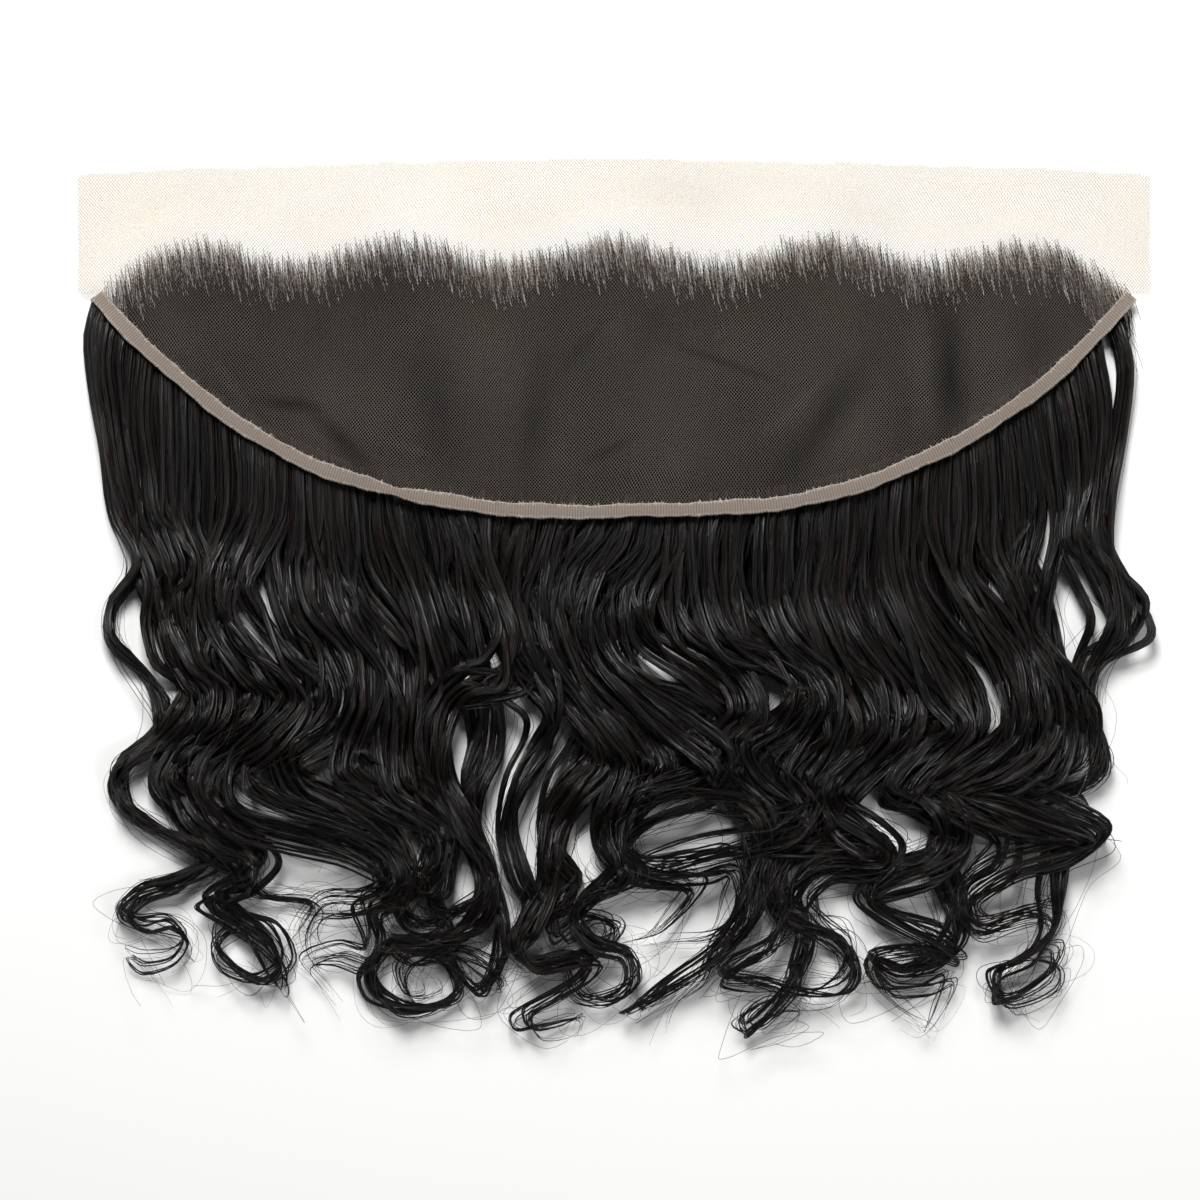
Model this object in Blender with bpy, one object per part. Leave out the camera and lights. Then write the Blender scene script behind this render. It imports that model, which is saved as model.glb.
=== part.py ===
"""Lace frontal hairpiece lying flat with its scalp side up. Metres, +Z up, hair falling towards -Y.

The working frame has x = 0, y = 0 at the middle of the curved edge band; the last step centres the piece.
"""
import math

import bmesh
import bpy
import numpy as np

MM = 0.001

# Driving sizes of the real piece
BAND_SPAN = 335 * MM  # between the band's two tips
SIDE_MARGIN = 7 * MM  # lace that goes on past each tip
LACE_WIDTH = BAND_SPAN + 2 * SIDE_MARGIN
LACE_DEPTH = 115 * MM  # front edge to the middle of the band
BAND_SAG = 70 * MM  # how far the band's middle lies below its tips
BAND_WIDTH = 4.7 * MM
BAND_THICKNESS = 1.2 * MM
HAIRLINE_DEPTH = 88 * MM  # middle of the band to the hairline
HAIR_FALL = 173 * MM  # middle of the band to the lowest curl
HAIR_DEPTH = 8 * MM  # hair lying under the lace at the middle of the band
CLOTH_WALL = 1.0 * MM
GAP = 0.35 * MM  # clearance between two pieces

# Shape of the edges, as shares of the sizes above
BAND_POWER = 2.8
SCALLOPS = 4.9  # waves of the hairline over the band's span
SCALLOP_HEIGHT = 0.04  # of HAIRLINE_DEPTH
HAIRLINE_DROP = 0.13  # of HAIRLINE_DEPTH, at both tips
HAIR_EDGE = 1.2 * MM  # hair's thickness at the hairline
STRIP_RISE = 9 * MM  # length of lace that climbs from the floor to the hair
BED_REACH = 0.09  # how far the root bed goes past the band, of HAIR_FALL
FLOOR_SINK = 0.8 * MM  # hair below the floor that the last cut removes

# How finely the sheet is faceted
COLUMNS = 36
STRIP_ROWS = 3
BED_ROWS = 7
REACH_ROWS = 2
BAND_SEGMENTS = 66
LOCK_SIDES = 6
STEPS_PER_TURN = 3
FACETS_KEPT = 0.66  # share of the facets left after small ones are merged

# Soft folds of the lace: middle (shares of half the span and of the fall), half sizes and height in shares of the fall
CREASES = (
    # x, y, half length, half width, lean in degrees, height
    (0.63, -0.24, 0.17, 0.035, 4, 0.009),
    (-0.47, -0.11, 0.07, 0.035, -30, 0.008),
    (0.22, -0.28, 0.16, 0.035, 40, 0.005),
    (-0.72, -0.30, 0.14, 0.035, 20, 0.006),
)

# Places where the band puckers: middle and half length as shares of half the span, width lost and lift as shares of the width
BAND_PUCKERS = (
    # middle, half length, lost, lift
    (-0.42, 0.035, 0.35, 0.26),
    (0.05, 0.05, 0.15, 0.07),
)

# Locks from left to right. A turn is where the lock bends to the other side: share of half the span, share of the fall.
# Width is a share of half the span at the root, and lay is the share of HAIR_DEPTH that the lock rides above the floor.
LOCKS = (
    # name, width, lay, turns
    ("left tendril", 0.07, 0.0, ((-0.97, -0.38), (-1.00, -0.25), (-0.98, -0.04), (-0.93, 0.10), (-0.95, 0.20),
     (-0.87, 0.36), (-0.95, 0.50), (-0.78, 0.63), (-0.95, 0.74), (-0.84, 0.81), (-0.93, 0.84), (-0.86, 0.92))),
    ("left side", 0.15, 0.2, ((-0.90, -0.28), (-0.88, -0.05), (-0.85, 0.10), (-0.86, 0.18), (-0.79, 0.35),
     (-0.85, 0.48), (-0.78, 0.62), (-0.88, 0.71))),
    ("left ring", 0.19, 0.1, ((-0.79, -0.16), (-0.75, 0.00), (-0.78, 0.15), (-0.67, 0.33), (-0.80, 0.48),
     (-0.66, 0.59), (-0.43, 0.65), (-0.55, 0.73), (-0.76, 0.72), (-0.66, 0.82), (-0.72, 0.87), (-0.77, 0.82),
     (-0.71, 0.78), (-0.69, 0.85))),
    ("left front", 0.19, 0.4, ((-0.63, -0.09), (-0.60, 0.03), (-0.63, 0.14), (-0.53, 0.28), (-0.57, 0.40),
     (-0.70, 0.52), (-0.60, 0.61), (-0.46, 0.66), (-0.58, 0.70), (-0.59, 0.78), (-0.53, 0.84), (-0.47, 0.82))),
    ("left ball", 0.19, 0.2, ((-0.49, -0.04), (-0.50, 0.10), (-0.41, 0.26), (-0.43, 0.38), (-0.52, 0.50),
     (-0.35, 0.60), (-0.36, 0.70), (-0.41, 0.74), (-0.35, 0.77), (-0.28, 0.72))),
    ("lower ring", 0.19, 0.4, ((-0.36, 0.00), (-0.38, 0.12), (-0.29, 0.27), (-0.28, 0.36), (-0.37, 0.48),
     (-0.30, 0.62), (-0.26, 0.73), (-0.27, 0.80), (-0.42, 0.80), (-0.45, 0.87), (-0.38, 0.92), (-0.29, 0.87),
     (-0.36, 0.83), (-0.40, 0.87))),
    ("left arc", 0.18, 0.2, ((-0.22, 0.01), (-0.24, 0.15), (-0.14, 0.32), (-0.12, 0.42), (-0.18, 0.53),
     (-0.17, 0.65), (-0.20, 0.76), (-0.18, 0.84), (-0.25, 0.89))),
    ("middle hook", 0.19, 0.5, ((-0.08, 0.01), (-0.12, 0.17), (-0.02, 0.33), (-0.01, 0.43), (-0.02, 0.52),
     (-0.10, 0.62), (-0.11, 0.77), (-0.01, 0.78), (-0.10, 0.84), (-0.19, 0.84))),
    ("middle tail", 0.19, 0.2, ((0.06, 0.01), (0.02, 0.17), (0.11, 0.34), (0.15, 0.44), (0.08, 0.53),
     (0.02, 0.60), (0.12, 0.65), (0.00, 0.71), (-0.02, 0.80), (-0.06, 0.86), (-0.17, 0.92), (-0.12, 0.97),
     (-0.05, 0.95))),
    ("middle shelf", 0.19, 0.5, ((0.18, 0.01), (0.14, 0.15), (0.22, 0.32), (0.26, 0.44), (0.17, 0.53),
     (0.24, 0.60), (0.09, 0.67), (-0.02, 0.71))),
    ("right tail", 0.18, 0.1, ((0.26, 0.01), (0.24, 0.15), (0.34, 0.32), (0.38, 0.40), (0.29, 0.50),
     (0.29, 0.62), (0.25, 0.74), (0.20, 0.83), (0.10, 0.88), (0.06, 0.94), (0.13, 0.95), (0.17, 0.89))),
    ("right ledge", 0.17, 0.6, ((0.31, 0.00), (0.29, 0.14), (0.40, 0.31), (0.40, 0.40), (0.31, 0.50),
     (0.31, 0.62), (0.27, 0.74), (0.13, 0.78), (0.02, 0.80))),
    ("right hook", 0.19, 0.2, ((0.40, -0.01), (0.39, 0.12), (0.48, 0.30), (0.48, 0.38), (0.41, 0.50),
     (0.36, 0.60), (0.50, 0.62), (0.48, 0.67), (0.36, 0.69), (0.43, 0.80), (0.42, 0.89), (0.22, 0.87),
     (0.29, 0.82))),
    ("right zigzag", 0.19, 0.4, ((0.52, -0.04), (0.50, 0.13), (0.61, 0.30), (0.64, 0.40), (0.52, 0.50),
     (0.63, 0.59), (0.50, 0.70), (0.64, 0.81), (0.49, 0.84), (0.62, 0.88), (0.57, 0.97))),
    ("right bow", 0.18, 0.2, ((0.64, -0.09), (0.61, 0.14), (0.72, 0.30), (0.76, 0.42), (0.62, 0.51),
     (0.60, 0.62), (0.65, 0.74), (0.60, 0.86), (0.63, 0.93))),
    ("right ball", 0.19, 0.4, ((0.76, -0.18), (0.74, 0.04), (0.73, 0.15), (0.83, 0.34), (0.82, 0.45),
     (0.70, 0.51), (0.88, 0.60), (0.69, 0.70), (0.70, 0.77), (0.84, 0.74), (0.85, 0.80), (0.74, 0.86),
     (0.78, 0.94), (0.85, 0.89))),
    ("right side", 0.10, 0.1, ((0.87, -0.28), (0.86, -0.08), (0.90, 0.08), (0.94, 0.20), (0.91, 0.31),
     (0.92, 0.43), (0.87, 0.50), (0.76, 0.52))),
    ("right tendril", 0.07, 0.3, ((0.97, -0.38), (0.98, -0.24), (0.94, -0.08), (0.92, 0.05), (0.96, 0.19),
     (0.90, 0.31), (0.925, 0.44), (0.87, 0.51))),
)


def ease(low, high, value):
    """Smooth rise from 0 at low to 1 at high."""
    share = np.clip((value - low) / (high - low), 0.0, 1.0)
    return share * share * (3.0 - 2.0 * share)


def band_y(x):
    """Middle line of the curved edge band; past the tips it stays at their height."""
    return BAND_SAG * min(1.0, abs(x) / (BAND_SPAN / 2)) ** BAND_POWER


def hairline_y(x):
    """Scalloped line where the first hairs are knotted into the lace."""
    share = x / (BAND_SPAN / 2)
    wave = SCALLOP_HEIGHT * math.cos(math.pi * SCALLOPS * (share + 0.82))
    drop = HAIRLINE_DROP * min(1.0, abs(share)) ** 10
    return HAIRLINE_DEPTH * (1.0 + wave - drop)


def front_y(x):
    """Front edge of the bare lace strip, a little bowed."""
    return LACE_DEPTH * (1.0 - 0.045 * (x / (LACE_WIDTH / 2)) ** 2)


def crease_height(x, y):
    """Height that the folds of the lace add at a place."""
    total = 0.0
    for middle_x, middle_y, half_length, half_width, lean, height in CREASES:
        across = x - middle_x * BAND_SPAN / 2
        along = y + middle_y * HAIR_FALL
        turn = math.radians(lean)
        side = across * math.cos(turn) + along * math.sin(turn)
        run = along * math.cos(turn) - across * math.sin(turn)
        reach = (side / (half_width * HAIR_FALL)) ** 2 + (run / (half_length * HAIR_FALL)) ** 2
        total += height * HAIR_FALL * math.exp(-reach)
    return total


def under_lace(x, y):
    """Height of the lace's underside: on the floor at the front, over the hair behind the hairline."""
    share = min(1.0, abs(x) / (BAND_SPAN / 2))
    hairline = hairline_y(x)
    if y >= hairline:
        return (HAIR_EDGE + GAP) * (1.0 - ease(hairline, hairline + STRIP_RISE, y))
    depth = HAIR_DEPTH * (1.0 - 0.45 * share ** 2)
    behind = (hairline - y) / (hairline + BAND_SAG * 0.2 - band_y(x))
    return HAIR_EDGE + GAP + (depth - HAIR_EDGE) * ease(0.0, 0.8, behind) + crease_height(x, y) * ease(0.0, 0.2, behind)


def sheet_rows(x):
    """Heights in y of the lace's rows at one column, front edge first, band last."""
    hairline = hairline_y(x)
    strip = [front_y(x), (front_y(x) + hairline + STRIP_RISE) / 2, hairline + STRIP_RISE, hairline + 0.45 * STRIP_RISE]
    bed = [hairline + (band_y(x) - hairline) * row / BED_ROWS for row in range(BED_ROWS + 1)]
    return strip + bed


def sheet_columns():
    """The lace's columns from left to right; the outer one on each side has no hair below."""
    inner = np.linspace(-0.985, 0.985, COLUMNS - 1) * BAND_SPAN / 2
    return [-LACE_WIDTH / 2, *inner, LACE_WIDTH / 2]


def grid_solid(name, top, bottom):
    """Closed solid between two grids of points, top and bottom, that have the same rows and columns."""
    mesh = bmesh.new()
    layers = [[[mesh.verts.new(point) for point in row] for row in grid] for grid in (top, bottom)]
    for layer, flip in zip(layers, (False, True)):
        for first, second in zip(layer, layer[1:]):
            for here in range(len(first) - 1):
                quad = [first[here], first[here + 1], second[here + 1], second[here]]
                mesh.faces.new(quad[::-1] if flip else quad)
    upper, lower = layers
    rims = []
    for layer in (upper, lower):
        left = [row[0] for row in layer]
        right = [row[-1] for row in layer]
        rims.append(layer[0][:-1] + right[:-1] + layer[-1][:0:-1] + left[:0:-1])
    count = len(rims[0])
    for here in range(count):
        after = (here + 1) % count
        mesh.faces.new([rims[0][here], rims[1][here], rims[1][after], rims[0][after]])
    return finished(name, mesh)


def finished(name, mesh):
    """Puts a bmesh into the scene as a triangulated object with its faces outward."""
    bmesh.ops.triangulate(mesh, faces=mesh.faces[:])
    bmesh.ops.recalc_face_normals(mesh, faces=mesh.faces[:])
    data = bpy.data.meshes.new(name)
    mesh.to_mesh(data)
    mesh.free()
    made = bpy.data.objects.new(name, data)
    bpy.context.collection.objects.link(made)
    return made


def lace_base():
    """The sheer lace sheet: bare front strip and the part that carries the hair."""
    top, bottom = [], []
    for x in sheet_columns():
        outer = abs(x) > BAND_SPAN / 2
        under = [(x, y, under_lace(x, y) * (0.7 if outer else 1.0)) for y in sheet_rows(x)]
        bottom.append(under)
        top.append([(x, y, z + CLOTH_WALL) for x, y, z in under])
    return grid_solid("lace_base", top, bottom)


def edge_band():
    """The woven tape sewn along the curved back edge, on top of the lace."""
    top, bottom = [], []
    half = BAND_SPAN / 2
    for step in range(BAND_SEGMENTS + 1):
        x = half * (2 * step / BAND_SEGMENTS - 1)
        slope = BAND_POWER * BAND_SAG / half * math.copysign(abs(x / half) ** (BAND_POWER - 1), x)
        width, lift = BAND_WIDTH, 0.0
        for middle, reach, loss, rise in BAND_PUCKERS:
            near = math.exp(-(((x / half) - middle) / reach) ** 2)
            width *= 1.0 - loss * near
            lift += rise * BAND_WIDTH * near
        normal = np.array([-slope, 1.0]) / math.hypot(slope, 1.0)
        rows = []
        for side in (0.5, 0.0, -0.5):
            place = np.array([x, band_y(x)]) + normal * width * side
            low = under_lace(place[0], place[1]) + CLOTH_WALL + GAP + lift
            rows.append((place[0], place[1], low))
        bottom.append(rows)
        top.append([(x, y, z + BAND_THICKNESS) for x, y, z in rows])
    return grid_solid("edge_band", top, bottom)


def root_bed():
    """Hair lying under the lace, with a flat underside and a little of it past the band."""
    reach = [BED_REACH * HAIR_FALL * step / REACH_ROWS for step in range(1, REACH_ROWS + 1)]
    top = []
    for x in sheet_columns()[1:-1]:
        rows = sheet_rows(x)[STRIP_ROWS + 1:]
        column = [(x, y, under_lace(x, y) - GAP) for y in rows]
        edge = column[-1][2]
        column += [(x, rows[-1] - far, edge * (1.0 - 0.45 * far / reach[-1])) for far in reach]
        top.append(column)
    bottom = [[(x, y, -FLOOR_SINK) for x, y, z in column] for column in top]
    return grid_solid("root_bed", top, bottom)


def spline(points, steps):
    """Smooth open curve through the given points, with the same number of steps in each span."""
    ends = np.vstack([2 * points[0] - points[1], points, 2 * points[-1] - points[-2]])
    path = []
    for here in range(1, len(ends) - 2):
        before, start, stop, after = ends[here - 1:here + 3]
        for step in range(steps):
            t = step / steps
            path.append(0.5 * (2 * start + (stop - before) * t + (2 * before - 5 * start + 4 * stop - after) * t ** 2
                               + (3 * start - before - 3 * stop + after) * t ** 3))
    path.append(points[-1])
    return np.array(path)


def lock_path(lay, turns):
    """Middle line of one lock; its turns are low and high in turn, as in a loose coil."""
    lift = 0.5 * HAIR_DEPTH
    points = []
    for number, (across, down) in enumerate(turns):
        grown = ease(0.0, 0.35, number / (len(turns) - 1))
        height = 0.28 * HAIR_DEPTH + grown * (lay * HAIR_DEPTH + lift * (number % 2))
        points.append((across * BAND_SPAN / 2, -down * HAIR_FALL, height))
    return spline(np.array(points), STEPS_PER_TURN)


def ceiling(x, y):
    """Highest that hair may lie at a place: below the lace, and freely higher past the band."""
    past = max(0.0, band_y(x) - y - BAND_WIDTH)
    return under_lace(x, max(y, band_y(x) - BAND_WIDTH)) - 2.2 * GAP + 0.9 * past


def lock(name, width, lay, turns):
    """One lock of hair: a flat oval section that narrows towards the tip."""
    path = lock_path(lay, turns)
    down = np.maximum.accumulate(-path[:, 1]) / HAIR_FALL
    near_tip = np.linspace(0.0, 1.0, len(path))
    half_width = width * BAND_SPAN / 4 * (1.0 - 0.55 * ease(0.40, 0.78, down) - 0.30 * ease(0.75, 1.0, near_tip))
    half_thick = HAIR_DEPTH * (0.30 + 0.22 * ease(0.0, 0.3, down) - 0.26 * ease(0.45, 0.85, down))
    half_thick = np.minimum(half_width, half_thick)
    mesh = bmesh.new()
    rings = []
    for here, middle in enumerate(path):
        run = path[min(here + 1, len(path) - 1)] - path[max(here - 1, 0)]
        side = np.array([-run[1], run[0], 0.0])
        side /= np.linalg.norm(side)
        ring = []
        for corner in range(LOCK_SIDES):
            angle = 2 * math.pi * (corner + 0.5) / LOCK_SIDES
            place = middle + side * half_width[here] * math.cos(angle)
            place[2] += half_thick[here] * math.sin(angle)
            place[2] = min(place[2], ceiling(place[0], place[1]))
            ring.append(mesh.verts.new(place))
        rings.append(ring)
    for first, second in zip(rings, rings[1:]):
        for here in range(LOCK_SIDES):
            after = (here + 1) % LOCK_SIDES
            mesh.faces.new([first[here], first[after], second[after], second[here]])
    mesh.faces.new(rings[0][::-1])
    mesh.faces.new(rings[-1])
    return finished(name, mesh)


def floor_block():
    """Block below the floor that trims the hair flat."""
    mesh = bmesh.new()
    bmesh.ops.create_cube(mesh, size=1.0)
    bmesh.ops.scale(mesh, vec=(3 * LACE_WIDTH, 3 * LACE_WIDTH, 0.1), verts=mesh.verts)
    bmesh.ops.translate(mesh, vec=(0.0, 0.0, -0.05), verts=mesh.verts)
    return finished("floor_block", mesh)


def join_or_cut(body, others, operation):
    """Unites other solids with the body, or cuts them from it, and removes them."""
    tools = bpy.data.collections.new("tools")
    for other in others:
        tools.objects.link(other)
    modifier = body.modifiers.new("solid", "BOOLEAN")
    modifier.operation = operation
    modifier.operand_type = "COLLECTION"
    modifier.collection = tools
    modifier.solver = "MANIFOLD"
    settled = bpy.data.meshes.new_from_object(body.evaluated_get(bpy.context.evaluated_depsgraph_get()))
    body.modifiers.clear()
    body.data = settled
    for other in others:
        bpy.data.objects.remove(other, do_unlink=True)
    bpy.data.collections.remove(tools)


def keep_largest(body):
    """Drops the small closed scraps and inner pockets that a union can leave."""
    mesh = bmesh.new()
    mesh.from_mesh(body.data)
    bmesh.ops.triangulate(mesh, faces=mesh.faces[:])
    mesh.faces.ensure_lookup_table()
    group = [-1] * len(mesh.faces)
    sizes = []
    for start in range(len(mesh.faces)):
        if group[start] >= 0:
            continue
        group[start] = len(sizes)
        queue, size = [mesh.faces[start]], 0
        while queue:
            face = queue.pop()
            size += 1
            for other in [other for edge in face.edges if len(edge.link_faces) == 2 for other in edge.link_faces]:
                if group[other.index] < 0:
                    group[other.index] = len(sizes)
                    queue.append(other)
        sizes.append(size)
    kept = sizes.index(max(sizes))
    scraps = [face for face in mesh.faces if group[face.index] != kept]
    bmesh.ops.delete(mesh, geom=scraps, context="FACES")
    mesh.to_mesh(body.data)
    mesh.free()


def thin_out(body):
    """Merges the small facets that the union leaves where locks cross."""
    modifier = body.modifiers.new("thin out", "DECIMATE")
    modifier.ratio = FACETS_KEPT
    settled = bpy.data.meshes.new_from_object(body.evaluated_get(bpy.context.evaluated_depsgraph_get()))
    body.modifiers.clear()
    body.data = settled


def hair():
    """Root bed with all the locks fused to it, trimmed flat where it lies on the floor."""
    body = root_bed()
    join_or_cut(body, [lock(*row) for row in LOCKS], "UNION")
    keep_largest(body)
    thin_out(body)
    join_or_cut(body, [floor_block()], "DIFFERENCE")
    keep_largest(body)
    body.name = "hair"
    body.data.name = "hair"
    return body


def paint(body, name, colour, roughness):
    """Gives a piece one plain material."""
    material = bpy.data.materials.new(name)
    material.use_nodes = True
    shader = material.node_tree.nodes["Principled BSDF"]
    shader.inputs["Base Color"].default_value = (*colour, 1.0)
    shader.inputs["Roughness"].default_value = roughness
    body.data.materials.clear()
    body.data.materials.append(material)


def centre(pieces):
    """Moves the whole piece so that x = 0, y = 0 is the middle of its outline."""
    corners = np.array([tuple(vertex.co) for piece in pieces for vertex in piece.data.vertices])
    middle = (corners.min(axis=0) + corners.max(axis=0)) / 2
    for piece in pieces:
        for vertex in piece.data.vertices:
            vertex.co.x -= middle[0]
            vertex.co.y -= middle[1]


def main():
    for old in list(bpy.data.objects):
        bpy.data.objects.remove(old, do_unlink=True)
    lace = lace_base()
    band = edge_band()
    mane = hair()
    paint(lace, "swiss lace", (0.86, 0.80, 0.72), 0.9)
    paint(band, "cotton tape", (0.36, 0.29, 0.24), 0.95)
    paint(mane, "black human hair", (0.012, 0.010, 0.009), 0.4)
    centre([lace, band, mane])


main()
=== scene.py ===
"""Lace frontal hairpiece laid flat, scalp side up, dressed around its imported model.

The piece is a sheer net with a bare front strip, a woven tape along its curved back edge, and curly hair that
lies under the net and falls towards -Y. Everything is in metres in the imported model's frame.
"""

import math

import bpy
import numpy as np
from bpy.props import FloatProperty, FloatVectorProperty, IntProperty, PointerProperty
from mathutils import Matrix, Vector


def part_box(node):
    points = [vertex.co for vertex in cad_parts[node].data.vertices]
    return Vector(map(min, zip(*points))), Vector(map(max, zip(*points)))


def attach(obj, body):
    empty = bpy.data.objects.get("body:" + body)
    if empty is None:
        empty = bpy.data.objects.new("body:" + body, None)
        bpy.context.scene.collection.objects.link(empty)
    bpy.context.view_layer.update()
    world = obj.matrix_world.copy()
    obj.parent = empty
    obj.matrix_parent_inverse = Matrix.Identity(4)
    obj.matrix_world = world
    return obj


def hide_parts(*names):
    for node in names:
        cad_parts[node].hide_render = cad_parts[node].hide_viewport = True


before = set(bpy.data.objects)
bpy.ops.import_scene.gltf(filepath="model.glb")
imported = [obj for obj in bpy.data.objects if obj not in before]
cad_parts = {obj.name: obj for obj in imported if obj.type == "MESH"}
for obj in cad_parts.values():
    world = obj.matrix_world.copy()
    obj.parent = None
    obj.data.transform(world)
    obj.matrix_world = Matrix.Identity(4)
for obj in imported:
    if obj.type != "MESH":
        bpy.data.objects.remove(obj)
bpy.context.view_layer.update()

bl_info = {
    "name": "Lace frontal hairpiece",
    "version": (1, 0, 0),
    "blender": (4, 5, 0),
    "location": "View3D > Sidebar > Hairpiece",
    "description": "Builds the net, the edge band, the hair and the stage of a lace frontal",
    "category": "Object",
}

MM = 0.001
LACE_LOW, LACE_HIGH = (np.array(corner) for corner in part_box("lace_base"))

# Sizes shared with the solids; the ones that the frame gives are read from it
SIDE_MARGIN = 7 * MM
LACE_WIDTH = LACE_HIGH[0] - LACE_LOW[0]
LACE_DEPTH = LACE_HIGH[1] - LACE_LOW[1]
BAND_SPAN = LACE_WIDTH - 2 * SIDE_MARGIN
BAND_SAG = 70 * MM
BAND_WIDTH = 4.7 * MM
BAND_THICKNESS = 1.2 * MM
BAND_POWER = 2.8
HAIRLINE_DEPTH = 88 * MM
SCALLOPS = 4.9
SCALLOP_HEIGHT = 0.04
HAIRLINE_DROP = 0.13
HAIR_FALL = 173 * MM
HAIR_DEPTH = 8 * MM
HAIR_EDGE = 1.2 * MM
STRIP_RISE = 9 * MM
CLOTH_WALL = 1.0 * MM
GAP = 0.35 * MM
HALF_SPAN = BAND_SPAN / 2
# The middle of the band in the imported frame; shapes are worked out around it and moved there last
BAND_MIDDLE = np.array([(LACE_LOW[0] + LACE_HIGH[0]) / 2, LACE_LOW[1], 0.0])

# Soft folds of the lace, as in the solids
CREASES = (
    # x, y, half length, half width, lean in degrees, height
    (0.63, -0.24, 0.17, 0.035, 4, 0.009),
    (-0.47, -0.11, 0.07, 0.035, -30, 0.008),
    (0.22, -0.28, 0.16, 0.035, 40, 0.005),
    (-0.72, -0.30, 0.14, 0.035, 20, 0.006),
)

# Places where the band puckers
BAND_PUCKERS = (
    # middle, half length, lost, lift
    (-0.42, 0.035, 0.35, 0.26),
    (0.05, 0.05, 0.15, 0.07),
)

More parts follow.
